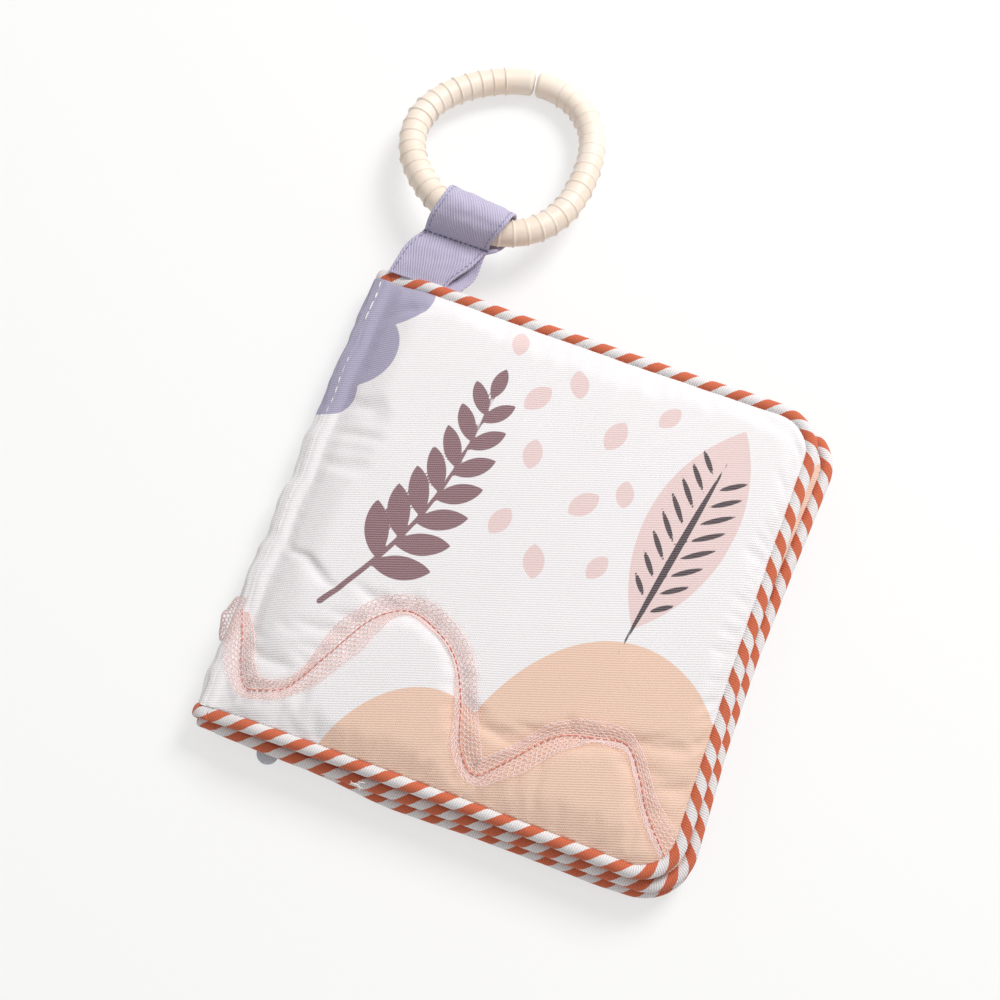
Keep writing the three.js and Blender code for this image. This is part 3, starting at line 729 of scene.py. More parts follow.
backPrint = {
    "lavender": [("ellipse", (150, 60), (34, 26), 0), ("ellipse", (118, 78), (22, 14), 0)],
    "peach": [("ellipse", (30, -84), (62, 40), 0)],
    "blush": [("petal", (40 + 26 * k, -8 + 9 * (k % 2)), 14, 8, 80 + 15 * (k % 3)) for k in range(4)],
    "mauve": sprigShapes((74, -44), (96, 18), 7, 4, 16, 8),
    "charcoal": [],
}
pagePrint = {
    "lavender": [("ellipse", (20, 66), (30, 22), 0)],
    "peach": [("ellipse", (140, -50), (70, 46), 0), ("ellipse", (158, 10), (24, 60), 0)],
    "blush": [("ellipse", (60, 10), (17, 17), 0), ("petal", (96, 30), 16, 9, 70)],
    "mauve": sprigShapes((40, -66), (54, -26), 4, 3, 12, 6),
    "charcoal": [],
}
liningPrint = {
    "lavender": [("petal", (24 + 30 * k, -52 + 34 * (k % 4)), 15, 8.5, 75) for k in range(4)],
    "peach": [("petal", (34 + 30 * k, 44 - 30 * (k % 3)), 15, 8.5, 105) for k in range(4)],
    "blush": [("ellipse", (76, -88), (90, 34), 0)],
    "mauve": [],
    "charcoal": [],
}


def inkDepth(shapes, u, v):
    depth = np.full(len(u), -9.0)
    for kind, *sizes in shapes:
        depth = np.maximum(depth, shapeKinds[kind](u, v, *sizes))
    return depth


def printOn(piece, topPrint, bottomPrint):
    mesh = piece.data
    packed = np.zeros(len(mesh.vertices) * 3, np.float32)
    mesh.attributes["flatPlace"].data.foreach_get("vector", packed)
    u, v, side = packed.reshape(-1, 3).astype(float).T
    for ink in inkNames:
        top = inkDepth(topPrint[ink], u, v)
        bottom = inkDepth(bottomPrint[ink], u, v)
        depth = mesh.attributes.new(ink, "FLOAT", "POINT")
        depth.data.foreach_set("value", np.where(side > 0, top, bottom).astype(np.float32))
    mesh.attributes.remove(mesh.attributes["flatPlace"])


# Quilting: the cloth of a face is blown up a little between its seams

quilting = {
    "simScale": 0.01,
    "frames": 16,
    "pressure": 3.0,
    "stiffness": 12.0,
    "bending": 0.4,
    "spareCloth": -0.022,
    "rise": 1.3,
    "dip": 0.7,
    "slide": 0.5,
    "jitter": 0.004,
    "jitterScale": 9,
    "quality": 5,
    "mass": 0.3,
}


def quiltFace(points, pinned, seed):
    columns, rows = points.shape[:2]
    start = points.reshape(-1, 3) * quilting["simScale"]
    scale = quilting["jitterScale"]
    jitter = np.array([noise.noise(Vector(place) * scale + Vector((seed, 0, 0))) for place in start])
    start[:, 2] += jitter * quilting["jitter"]
    index = np.arange(columns * rows).reshape(columns, rows)
    faces = np.stack([index[:-1, :-1], index[1:, :-1], index[1:, 1:], index[:-1, 1:]], -1).reshape(-1, 4)
    mesh = bpy.data.meshes.new("quiltCloth")
    mesh.from_pydata(start.tolist(), [], faces.tolist())
    cloth = bpy.data.objects.new("quiltCloth", mesh)
    scene.collection.objects.link(cloth)
    pins = cloth.vertex_groups.new(name="pins")
    pins.add([int(k) for k in index[pinned]], 1.0, "REPLACE")
    modifier = cloth.modifiers.new("cloth", "CLOTH")
    settings = modifier.settings
    settings.quality = quilting["quality"]
    settings.mass = quilting["mass"]
    settings.tension_stiffness = quilting["stiffness"]
    settings.compression_stiffness = quilting["stiffness"]
    settings.shear_stiffness = quilting["stiffness"] / 3
    settings.bending_stiffness = quilting["bending"]
    settings.use_pressure = True
    settings.uniform_pressure_force = quilting["pressure"]
    settings.shrink_min = quilting["spareCloth"]
    settings.vertex_group_mass = "pins"
    settings.effector_weights.gravity = 0
    modifier.collision_settings.use_collision = False
    modifier.point_cache.frame_start = 1
    modifier.point_cache.frame_end = quilting["frames"]
    for step in range(1, quilting["frames"] + 1):
        scene.frame_set(step)
    graph = bpy.context.evaluated_depsgraph_get()
    done = cloth.evaluated_get(graph).to_mesh()
    ended = np.zeros(len(done.vertices) * 3)
    done.vertices.foreach_get("co", ended)
    bpy.data.objects.remove(cloth)
    scene.frame_set(1)
    moved = ended.reshape(-1, 3) / quilting["simScale"] - points.reshape(-1, 3)
    moved[:, 2] = np.clip(moved[:, 2], -quilting["dip"], quilting["rise"])
    moved[:, :2] = np.clip(moved[:, :2], -quilting["slide"], quilting["slide"])
    return moved.reshape(points.shape)


# The ribbon's sewn line, as shares of the reach and of half the height

ribbonPathShares = [
    (-0.008, -0.56), (0.012, -0.65), (0.032, -0.75), (0.06, -0.83), (0.1, -0.82), (0.145, -0.775),
    (0.195, -0.61), (0.25, -0.425), (0.315, -0.34), (0.385, -0.375), (0.44, -0.455), (0.478, -0.59),
    (0.51, -0.76), (0.555, -0.84), (0.605, -0.755), (0.68, -0.6), (0.76, -0.55), (0.82, -0.535),
    (0.865, -0.64), (0.9, -0.75), (0.956, -0.868),
]


def smoothLine(points, spacing):
    knots = np.asarray(points, float)
    before = 2 * knots[0] - knots[1]
    after = 2 * knots[-1] - knots[-2]
    knots = np.vstack([before, knots, after])
    line = []
    for k in range(1, len(knots) - 2):
        p0, p1, p2, p3 = knots[k - 1:k + 3]
        for t in np.linspace(0, 1, 24, endpoint=False):
            line.append(0.5 * (2 * p1 + (p2 - p0) * t + (2 * p0 - 5 * p1 + 4 * p2 - p3) * t * t
                               + (3 * p1 - p0 - 3 * p2 + p3) * t ** 3))
    line.append(knots[-2])
    line = np.array(line)
    length = np.concatenate([[0], np.cumsum(np.linalg.norm(np.diff(line, axis=0), axis=1))])
    at = np.linspace(0, length[-1], max(2, round(length[-1] / spacing)) + 1)
    return np.stack([np.interp(at, length, line[:, k]) for k in range(line.shape[1])], axis=1)


ribbonKnots = [(a * bookSizes["coverReach"], b * bookSizes["coverHeight"] / 2) for a, b in ribbonPathShares]
ribbonLine = smoothLine(ribbonKnots, 0.5)


def distanceTo(line, x, y):
    distance = np.full(x.shape, 99.0)
    for px, py in line[::2]:
        distance = np.minimum(distance, np.hypot(x - px, y - py))
    return distance


def twoNoises(broadPlace, finePlace, fineShare):
    return noise.noise(Vector(broadPlace)) + fineShare * noise.noise(Vector(finePlace))


foldWaves = {"size": 0.85, "broad": 0.085, "fine": 0.21, "fineShare": 0.6, "endPlain": 5, "endFade": 10}


def foldWave(y):
    waves = [twoNoises((py * foldWaves["broad"], 3.0, 9.0), (py * foldWaves["fine"], 1.0, 4.0),
                       foldWaves["fineShare"]) for py in np.ravel(y)]
    waves = np.array(waves).reshape(np.shape(y))
    fromEnd = bookSizes["coverHeight"] / 2 - foldWaves["endPlain"] - np.abs(y)
    return foldWaves["size"] * waves * smooth(fromEnd / foldWaves["endFade"])


def crownAt(leaf, x, y):
    across = np.clip(2 * y / bookSizes["coverHeight"], -1, 1)
    along = np.clip(2 * x / leaf["reach"] - 1, -1, 1)
    return bookSizes["crown"] * (1 - across ** 4) * (1 - along ** 4) * opening(x)


coverMesh = {
    "spacing": 1.55,
    "backSpacing": 2.6,
    "pinEdge": 1.5,
    "pinRoot": 2.4,
    "pinReach": 0.95,
    "ribbonDimple": 0.45,
    "dimpleWidth": 2.6,
    "seamPlace": -0.9,
    "seamWidth": 1.5,
    "seamDimple": 0.3,
    "waveFade": 7,
}


def makeCover(name, leafName, side, crowned, topPrint, bottomPrint, spacing):
    leaf = leaves[leafName]
    xs = leafColumns(leaf, bookSizes["flapStart"] if side > 0 else bookSizes["backFlapStart"], spacing)
    rows = leafRows(spacing)
    x, y, edge = leafNet(leaf, xs, rows)
    crown = crownAt(leaf, x, y) if crowned else np.zeros_like(x)
    outer, inner = coverSides(x, edge, crown)
    top = settle(leaf, np.stack([x, y, outer], -1))
    bottom = settle(leaf, np.stack([x, y, inner], -1))
    pinned = (edge < coverMesh["pinEdge"]) | (x < coverMesh["pinRoot"])
    if crowned:
        distance = distanceTo(ribbonLine, x, y)
        pinned |= distance < coverMesh["pinReach"]
        top[..., 2] -= coverMesh["ribbonDimple"] * np.exp(-(distance / coverMesh["dimpleWidth"]) ** 2)
    top += quiltFace(top, pinned, 3.0 if crowned else 8.0) * smooth((x - 1.0) / 7)[..., None]
    flapRadius = bookSizes["flapRadius"]
    wrapped = flapRadius * np.arcsin(np.clip(x / flapRadius, -1, 0))
    flat = np.stack([np.where(x < 0, wrapped, x), y], -1)
    if crowned:  # the sewn line along the fold draws the cloth in, more in some places than in others
        draw = np.array([0.45 + 0.9 * noise.noise(Vector((py * 0.09, 7.0, 0.0))) for py in y.ravel()])
        valley = np.exp(-((x - coverMesh["seamPlace"]) / coverMesh["seamWidth"]) ** 2)
        valley *= np.clip(draw.reshape(y.shape), 0.12, 1.0)
        for face in (top, bottom):
            face[..., 2] -= coverMesh["seamDimple"] * valley * smooth((x - x.min()) / 0.6)
            face[..., 0] += foldWave(y) * (1 - smooth(x / coverMesh["waveFade"]))
    if side < 0:
        top[..., 2] = np.minimum(top[..., 2], axisHeight)
    top[..., 2] = axisHeight + side * top[..., 2]
    bottom[..., 2] = axisHeight + side * bottom[..., 2]
    upper, lower = (top, bottom) if side > 0 else (bottom, top)
    piece = gridMesh(name, upper, lower, flat, twill)
    subdivide(piece, 0.01)
    printOn(piece, topPrint, bottomPrint)
    return piece


frontPanel = makeCover("frontCoverPanel", "front_cover", 1, True, frontPrint, liningPrint,
                       coverMesh["spacing"])
print("front cover", len(frontPanel.data.polygons), "faces")

# A tube of any section: rings of points, and the cloth place of each point and of the one that closes it

capAngle = math.radians(65)


def tubeMesh(name, rings, places, material):
    count, sides = rings.shape[:2]
    middles = rings[[0, -1]].mean(axis=1)
    points = np.concatenate([rings.reshape(-1, 3), middles])
    ring, k = np.meshgrid(np.arange(count - 1), np.arange(sides), indexing="ij")
    nextK = (k + 1) % sides
    corners = np.stack([ring * sides + k, ring * sides + nextK, (ring + 1) * sides + nextK,
                        (ring + 1) * sides + k], -1).reshape(-1, 4)
    cornerPlaces = np.stack([places[ring, k], places[ring, k + 1], places[ring + 1, k + 1],
                             places[ring + 1, k]], -2).reshape(-1, 2)
    fanK = np.arange(sides)
    fanNext = (fanK + 1) % sides
    start = np.stack([np.full(sides, count * sides), fanNext, fanK], -1)
    last = (count - 1) * sides
    end = np.stack([np.full(sides, count * sides + 1), last + fanK, last + fanNext], -1)
    capPlaces = np.concatenate([
        np.stack([places[0].mean(axis=0) + 0 * places[0, :-1], places[0, 1:], places[0, :-1]], 1),
        np.stack([places[-1].mean(axis=0) + 0 * places[-1, :-1], places[-1, :-1], places[-1, 1:]], 1),
    ]).reshape(-1, 2)
    mesh = bpy.data.meshes.new(name)
    mesh.from_pydata(inFrame(points).tolist(), [], corners.tolist() + start.tolist() + end.tolist())
    uv = mesh.uv_layers.new(name="clothPlace")
    uv.data.foreach_set("uv", np.concatenate([cornerPlaces, capPlaces]).astype(np.float32).reshape(-1))
    tube = linkMesh(name, mesh, material)
    mesh.set_sharp_from_angle(angle=capAngle)  # the closed ends keep their own light
    return tube


pageMesh = {"spacing": 2.8, "ripple": 0.12, "rippleScale": 0.05, "rippleEdge": 6}


def makePage(name, leafName):
    leaf = leaves[leafName]
    xs = leafColumns(leaf, None, pageMesh["spacing"])
    x, y, edge = leafNet(leaf, xs, leafRows(pageMesh["spacing"]))
    middle = (leaf["place"] - 1.5) * pitchAt(x)
    rise = faceRise(x, edge)
    scale = pageMesh["rippleScale"]
    ripple = np.array([noise.noise(Vector((px * scale, py * scale, leaf["place"] * 7.0)))
                       for px, py in zip(x.ravel(), y.ravel())]).reshape(x.shape)
    rise = rise + pageMesh["ripple"] * ripple * np.clip(edge / pageMesh["rippleEdge"], 0, 1) * opening(x)
    top = settle(leaf, np.stack([x, y, axisHeight + middle + rise], -1))
    bottom = settle(leaf, np.stack([x, y, axisHeight + middle - rise], -1))
    piece = gridMesh(name, top, bottom, np.stack([x, y], -1), twill)
    subdivide(piece, 0.01)
    printOn(piece, pagePrint, pagePrint)
    return piece


backPanel = makeCover("backCoverPanel", "back_cover", -1, False, liningPrint, backPrint,
                      coverMesh["backSpacing"])
lowerPanel = makePage("lowerPagePanel", "lower_page")
upperPanel = makePage("upperPagePanel", "upper_page")
print("back cover and pages made")

# The fold: one padded roll, whose cloth goes on from the front cover

spineRoll = {
    "segments": 112,
    "rows": 130,
    "bulge": 0.75,
    "smallLumps": 0.4,
    "footPinch": 0.9,
    "flapStep": 0.15,
    "bulgeArc": (118, 238, 20, 20),
    "flapArc": (98, 262, 8, 30),
    "waveArc": (60, 300, 40, 40),
    "printArc": (80, 280),
}


def arcShare(degrees, low, high, fadeIn, fadeOut):
    return smooth((degrees - low) / fadeIn) * smooth((high - degrees) / fadeOut)


def makeSpineRoll():
    half = bookSizes["coverHeight"] / 2 - bookSizes["panelInset"]
    ys = np.linspace(half, -half, spineRoll["rows"])
    angles = np.linspace(0, math.tau, spineRoll["segments"], endpoint=False)
    y, angle = np.meshgrid(ys, angles, indexing="ij")
    degrees = np.degrees(angle)
    radius = np.full(y.shape, bookSizes["rollRadius"])
    outward = arcShare(degrees, *spineRoll["bulgeArc"])
    lumps = np.array([twoNoises((py * 0.07, 1.6 * a, 3.0), (py * 0.2, 3 * a, 8.0), spineRoll["smallLumps"])
                      for py, a in zip(y.ravel(), angle.ravel())])
    radius += spineRoll["bulge"] * (lumps.reshape(y.shape) + 0.3) * outward * smooth((half - np.abs(y)) / 8)
    radius -= spineRoll["footPinch"] * smooth((-y - 50) / 22) * outward
    radius += spineRoll["flapStep"] * arcShare(degrees, *spineRoll["flapArc"])
    wavy = foldWave(y) * arcShare(degrees, *spineRoll["waveArc"])
    rings = np.stack([radius * np.cos(angle) + wavy, y, axisHeight + radius * np.sin(angle)], -1)
    closed = np.append(angles, math.tau)
    places = np.stack(np.broadcast_arrays(-bookSizes["rollRadius"] * (closed - math.pi / 2)[None, :],
                                          ys[:, None]), -1)
    roll = tubeMesh("spineRoll", rings, places, twill)
    u = -bookSizes["rollRadius"] * (angle - math.pi / 2)
    outside = (degrees > spineRoll["printArc"][0]) & (degrees < spineRoll["printArc"][1])
    for ink in inkNames:
        depth = np.where(outside, inkDepth(frontPrint[ink], u.ravel(), y.ravel()).reshape(u.shape), -9.0)
        values = np.concatenate([depth.ravel(), [-9.0, -9.0]]).astype(np.float32)
        roll.data.attributes.new(ink, "FLOAT", "POINT").data.foreach_set("value", values)
    return roll


roll = makeSpineRoll()
print("spine roll made")

# Striped piping round the leaves, and nested round both ends of the fold

pipingMesh = {"stationStep": 1.3, "sides": 22, "wander": 0.16, "swell": 0.05, "rootCut": 4.72}


def pipingCentres(leaf):
    radius = bookSizes["cornerRadius"] - bookSizes["pipingRadius"]
    farX = leaf["reach"] - bookSizes["pipingRadius"]
    half = bookSizes["coverHeight"] / 2 - bookSizes["pipingRadius"]
    turn = farX - radius
    step = pipingMesh["stationStep"]
    top = [(seamHalf, half, 0.0)] + [(x, half, 0.0) for x in spread(pipingMesh["rootCut"] + 0.4, turn, step)]
    bends = max(8, round(radius * math.pi / 2 / step))
    for k in range(1, bends + 1):
        angle = math.pi / 2 * k / bends
        top.append((turn + radius * math.sin(angle), half - radius + radius * math.cos(angle), -angle))
    side = [(farX, y, -math.pi / 2) for y in spread(half - radius, 0, step)[1:]]
    upper = top + side
    lower = [(x, -y, -math.pi - heading) for x, y, heading in reversed(upper[:-1])]
    return np.array(upper + lower)


def makeLeafPiping(name, leafName):
    leaf = leaves[leafName]
    spots = pipingCentres(leaf)
    x, y, heading = spots.T
    middle = (leaf["place"] - 1.5) * pitchAt(x)
    length = np.concatenate([[0], np.cumsum(np.hypot(np.diff(x), np.diff(y)))]) + seamHalf
    sides = pipingMesh["sides"]
    angles = -math.pi + math.tau * np.arange(sides) / sides
    left = np.stack([-np.sin(heading), np.cos(heading)], -1)
    lumps = np.array([noise.noise(Vector((s * 0.16, 4.0 * leaf["place"], 1.0))) for s in length])
    drift = np.array([noise.noise(Vector((s * 0.045, 4.0 * leaf["place"], 6.0))) for s in length])
    wide = bookSizes["pipingRadius"] * (1 + pipingMesh["swell"] * (lumps - 0.3) * smooth((x - 5) / 8))
    shift = pipingMesh["wander"] * (drift - 0.4) * np.clip((x - 6) / 8, 0, 1)
    tall = halfAt(x) - 0.02
    flatX = x[:, None] + left[:, :1] * (wide[:, None] * np.cos(angles) + shift[:, None])
    flatY = y[:, None] + left[:, 1:] * (wide[:, None] * np.cos(angles) + shift[:, None])
    z = middle[:, None] + tall[:, None] * np.sin(angles)
    for end in (0, -1):
        flatX[end] = np.sqrt(np.maximum(pipingMesh["rootCut"] ** 2 - z[end] ** 2, 0))
    rings = settle(leaf, np.stack([flatX, flatY, axisHeight + z], -1))
    closed = np.append(angles, math.pi) * bookSizes["pipingRadius"]
    whole = length[-1] + seamHalf
    # Stripes are counted from the foot, so that all rows keep step there
    fromFoot = np.repeat((length - whole)[:, None], sides + 1, axis=1)
    fromFoot[0] = np.append(flatX[0], flatX[0, 0]) - whole
    fromFoot[-1] = -np.append(flatX[-1], flatX[-1, 0])
    places = np.stack(np.broadcast_arrays(fromFoot, closed[None, :]), -1)
    return tubeMesh(name, rings, places, tape), whole


def makeFoldPiping(name, bendRadius, end, slip, leafLength):
    y = end * (bookSizes["coverHeight"] / 2 - bookSizes["pipingRadius"]) - slip
    sides = pipingMesh["sides"]
    bends = np.linspace(math.pi / 2, 3 * math.pi / 2, 15)
    bends = np.concatenate([[math.pi / 2], bends, [3 * math.pi / 2]])
    angles = math.tau * np.arange(sides) / sides
    if end < 0:
        angles = angles - math.pi
    radial = bendRadius + seamHalf * np.sin(angles)
    x = np.cos(bends)[:, None] * radial
    z = np.sin(bends)[:, None] * radial
    for ring in (0, -1):
        x[ring] = np.sqrt(np.maximum(bookSizes["rollRadius"] ** 2 - z[ring] ** 2, 0))
    ys = np.broadcast_to(y - bookSizes["pipingRadius"] * np.cos(angles), x.shape)
    rings = np.stack([x, ys, axisHeight + z], -1)
    arc = np.repeat(((bends - math.pi / 2) * bookSizes["rollRadius"])[:, None], sides + 1, axis=1)
    arc[0] = -np.append(x[0], x[0, 0])
    arc[-1] = arc[-2] + np.append(x[-1], x[-1, 0])
    closed = np.append(angles, angles[0] + math.tau)
    along = -arc - leafLength if end > 0 else arc
    around = (math.pi - closed if end > 0 else closed) * bookSizes["pipingRadius"]
    places = np.stack(np.broadcast_arrays(along, around[None, :]), -1)
    return tubeMesh(name, rings, places, tape)


leafPipings = {}
for leafName, pieceName in [("front_cover", "frontCoverPiping"), ("upper_page", "upperPagePiping"),
                            ("lower_page", "lowerPagePiping"), ("back_cover", "backCoverPiping")]:
    leafPipings[leafName] = makeLeafPiping(pieceName, leafName)
frontLength = leafPipings["front_cover"][1]
pageLength = leafPipings["upper_page"][1]
foldPipings = {}
for endName, end in (("top", 1), ("bottom", -1)):
    cap = endName.capitalize()
    foldPipings["cover", endName] = makeFoldPiping("coverFoldPiping" + cap, 1.5 * seamPitch, end, 0.0,
                                                   frontLength)
    foldPipings["page", endName] = makeFoldPiping("pageFoldPiping" + cap, seamPitch / 2, end,
                                                  bookSizes["pageSlip"], pageLength)
print("piping made")

# Geometry nodes: threads and netting strands along edges, and stitches set along a line


def geometryTree(name, sizes):
    tree = bpy.data.node_groups.new(name, "GeometryNodeTree")
    tree.interface.new_socket(name="Geometry", in_out="INPUT", socket_type="NodeSocketGeometry")
    for label, socketType in sizes + [("Material", "NodeSocketMaterial")]:
        tree.interface.new_socket(name=label, in_out="INPUT", socket_type=socketType)
    tree.interface.new_socket(name="Geometry", in_out="OUTPUT", socket_type="NodeSocketGeometry")
    return tree, tree.nodes.new("NodeGroupInput").outputs, tree.nodes.new("NodeGroupOutput").inputs


def closeTree(tree, given, result, geometry):
    real = addNode(tree, "GeometryNodeRealizeInstances", {0: geometry}).outputs[0]
    smoothed = addNode(tree, "GeometryNodeSetShadeSmooth", {0: real}).outputs[0]
    painted = addNode(tree, "GeometryNodeSetMaterial",
                      {"Geometry": smoothed, "Material": given["Material"]}).outputs[0]
    tree.links.new(painted, result[0])
    return tree


def buildStrandTree():
    tree, given, result = geometryTree("strandsAlongEdges", [("Radius", "NodeSocketFloat"),
                                                             ("Sides", "NodeSocketInt")])
    lines = addNode(tree, "GeometryNodeMeshToCurve", {0: given["Geometry"]}).outputs[0]
    profile = addNode(tree, "GeometryNodeCurvePrimitiveCircle",
                      {"Resolution": given["Sides"], "Radius": given["Radius"]}).outputs[0]
    tube = addNode(tree, "GeometryNodeCurveToMesh",
                   {"Curve": lines, "Profile Curve": profile, "Fill Caps": True}).outputs[0]
    return closeTree(tree, given, result, tube)


def buildStitchTree():
    tree, given, result = geometryTree("stitchesAlongLine", [
        ("Spacing", "NodeSocketFloat"), ("Length", "NodeSocketFloat"), ("Width", "NodeSocketFloat"),
        ("Height", "NodeSocketFloat"), ("Unevenness", "NodeSocketFloat"), ("Seed", "NodeSocketInt")])
    line = addNode(tree, "GeometryNodeMeshToCurve", {0: given["Geometry"]}).outputs[0]
    even = addNode(tree, "GeometryNodeResampleCurve", {"Curve": line, "Length": given["Spacing"]},
                   mode="LENGTH").outputs[0]
    tangent = addNode(tree, "GeometryNodeInputTangent").outputs[0]
    heading = addNode(tree, "FunctionNodeAlignRotationToVector", {"Vector": tangent}, axis="X").outputs[0]
    chance = addNode(tree, "FunctionNodeRandomValue", {"Seed": given["Seed"]}, data_type="FLOAT_VECTOR")
    least = addNode(tree, "ShaderNodeVectorMath", {0: (1, 1, 1), "Scale": given["Unevenness"]},
                    operation="SCALE").outputs[0]
    below = addNode(tree, "ShaderNodeVectorMath", {0: (1, 1, 1), 1: least}, operation="SUBTRACT")
    above = addNode(tree, "ShaderNodeVectorMath", {0: (1, 1, 1), 1: least}, operation="ADD")
    tree.links.new(below.outputs[0], chance.inputs["Min"])
    tree.links.new(above.outputs[0], chance.inputs["Max"])
    size = addNode(tree, "ShaderNodeCombineXYZ",
                   {0: given["Length"], 1: given["Width"], 2: given["Height"]}).outputs[0]
    uneven = addNode(tree, "ShaderNodeVectorMath", {0: size, 1: chance.outputs[0]}, operation="MULTIPLY")
    bead = addNode(tree, "GeometryNodeMeshUVSphere", {"Segments": 8, "Rings": 6, "Radius": 0.5}).outputs[0]
    placed = addNode(tree, "GeometryNodeInstanceOnPoints",
                     {"Points": even, "Instance": bead, "Rotation": heading,
                      "Scale": uneven.outputs[0]}).outputs[0]
    return closeTree(tree, given, result, placed)


strandTree = buildStrandTree()
stitchTree = buildStitchTree()


def growOn(name, points, edges, tree, sizes, material):
    mesh = bpy.data.meshes.new(name)
    mesh.from_pydata(inFrame(points).tolist(), [tuple(edge) for edge in edges], [])
    piece = bpy.data.objects.new(name, mesh)
    scene.collection.objects.link(piece)
    modifier = piece.modifiers.new("grow", "NODES")
    modifier.node_group = tree
    sockets = {item.name: item.identifier for item in tree.interface.items_tree
               if item.item_type == "SOCKET" and item.in_out == "INPUT"}
    for label, value in sizes.items():
        modifier[sockets[label]] = value
    modifier[sockets["Material"]] = material
    return bakeModifiers(piece)


def stitchLine(name, points, material, spacing, length, width, height, uneven, seed):
    sizes = {"Spacing": spacing * mm, "Length": length * mm, "Width": width * mm, "Height": height * mm,
             "Unevenness": uneven, "Seed": seed}
    edges = [(k, k + 1) for k in range(len(points) - 1)]
    return growOn(name, points, edges, stitchTree, sizes, material)


# The netting ribbon lies on the finished front cover

ribbon = {
    "leftWidths": [(0, 2.0), (0.03, 3.8), (0.08, 5.0), (0.11, 5.4), (0.14, 3.0), (0.19, 1.7), (0.22, 2.2),
                   (0.26, 4.8), (0.31, 4.5), (0.36, 4.4), (0.42, 5.4), (0.47, 5.0), (0.53, 4.9), (0.58, 6.0),
                   (0.64, 4.0), (0.69, 2.8), (0.75, 3.6), (0.81, 5.0), (0.86, 2.6), (0.92, 3.4), (0.97, 5.4),
                   (1, 7.0)],
    "rightWidths": [(0, 1.7), (0.03, 3.6), (0.055, 5.2), (0.08, 4.6), (0.11, 2.6), (0.17, 2.8), (0.21, 4.8),
                    (0.28, 6.0), (0.32, 4.0), (0.345, 1.6), (0.39, 1.2), (0.43, 0.8), (0.47, 0.8),
                    (0.53, 1.9), (0.61, 2.8), (0.65, 3.6), (0.69, 5.0), (0.76, 4.6), (0.79, 2.2),
                    (0.805, 0.8), (0.83, 2.5), (0.86, 1.1), (0.92, 2.0), (0.97, 1.6), (1, 1.8)],
    "cellLength": 1.8,
    "chains": 11,
    "strandRadius": 0.19,
    "lift": 0.3,
    "curl": 0.5,
    "ruffle": 0.45,
    "sway": 0.5,
    "stagger": 0.2,
    "drift": (34, 1.4, 2.0),
    "wrapRadius": 5.3,
    "stitchLift": 0.68,
}


def coverTree():
    mesh = frontPanel.data
    mesh.calc_loop_triangles()
    points = [vertex.co.copy() for vertex in mesh.vertices]
    return BVHTree.FromPolygons(points, [tuple(polygon.vertices) for polygon in mesh.polygons])


coverSurface = coverTree()


def heightOn(x, y):
    top = Vector((hinge.x + x * mm, hinge.y + y * mm, 0.06))
    hit = coverSurface.ray_cast(top, Vector((0, 0, -1)))[0]
    return hit.z / mm if hit else axisHeight + bookSizes["flapRadius"]


def lineFrame(line):
    tangent = np.gradient(line, axis=0)
    tangent /= np.linalg.norm(tangent, axis=1)[:, None]
    return np.stack([-tangent[:, 1], tangent[:, 0]], -1)


def netLattice(columns, chains):
    column, chain = np.meshgrid(np.arange(columns), np.arange(chains), indexing="ij")
    index = column * chains + chain
    edges = [np.stack([index[:-1].ravel(), index[1:].ravel()], -1)]
    linked = ((column + chain) % 2 == 0)[:, :-1]
    edges.append(np.stack([index[:, :-1][linked], index[:, 1:][linked]], -1))
    zigzag = np.where((column + chain) % 2 == 0, 1, -1)
    return column, chain, zigzag, np.concatenate(edges)


def driftAt(along, across, alongScale, acrossScale, seed):
    drift = [noise.noise_vector(Vector((a * alongScale, b * acrossScale, seed)))
             for a, b in zip(along.ravel(), across.ravel())]
    return np.array(drift).reshape(*along.shape, 3)


def ribbonPoints():
    line = smoothLine(ribbonKnots, ribbon["cellLength"] / 2)
    left = lineFrame(line)
    columns = len(line)
    chains = ribbon["chains"]
    column, chain, zigzag, edges = netLattice(columns, chains)
    along = column / (columns - 1)
    across = (chain + zigzag * ribbon["stagger"]) / (chains - 1) * 2 - 1
    leftWidth = softTable(ribbon["leftWidths"], along, 0.01)
    rightWidth = softTable(ribbon["rightWidths"], along, 0.01)
    offset = np.where(across > 0, across * leftWidth, across * rightWidth)
    drift = driftAt(along, across, *ribbon["drift"])
    x = line[column, 0] + left[column, 0] * offset + ribbon["sway"] * drift[..., 0]
    y = line[column, 1] + left[column, 1] * offset + ribbon["sway"] * drift[..., 1]
    curl = ribbon["curl"] * np.abs(across) ** 2
    ruffle = ribbon["ruffle"] * np.abs(across) * (1 + drift[..., 2] * 1.6)
    over = ribbon["lift"] + curl + np.maximum(ruffle, -0.2)
    base = np.array([heightOn(a, b) for a, b in zip(x.ravel(), y.ravel())]).reshape(x.shape)
    wrapped = np.minimum(x, 0) / ribbon["wrapRadius"]  # past the fold line it follows the round fold
    radius = ribbon["wrapRadius"] + over * 0.6
    roundX = np.where(x < 0, radius * np.sin(wrapped), x)
    z = np.where(x < -1, axisHeight + radius * np.cos(wrapped), base + over)
    return np.stack([roundX, y, z], -1).reshape(-1, 3), edges


def makeRibbon():
    points, edges = ribbonPoints()
    return growOn("ribbonNetting", points, edges, strandTree,
                  {"Radius": ribbon["strandRadius"] * mm, "Sides": 4}, ribbonNet)


ribbonPiece = makeRibbon()
sewn = smoothLine(ribbonKnots, 0.6)
sewn = np.stack([sewn[:, 0], sewn[:, 1], [heightOn(a, b) + ribbon["stitchLift"] for a, b in sewn]], -1)
ribbonStitches = stitchLine("ribbonStitches", sewn, ribbonThread, spacing=2.1, length=1.8, width=0.36,
                            height=0.36, uneven=0.25, seed=4)
print("ribbon made", len(ribbonPiece.data.polygons), "faces")

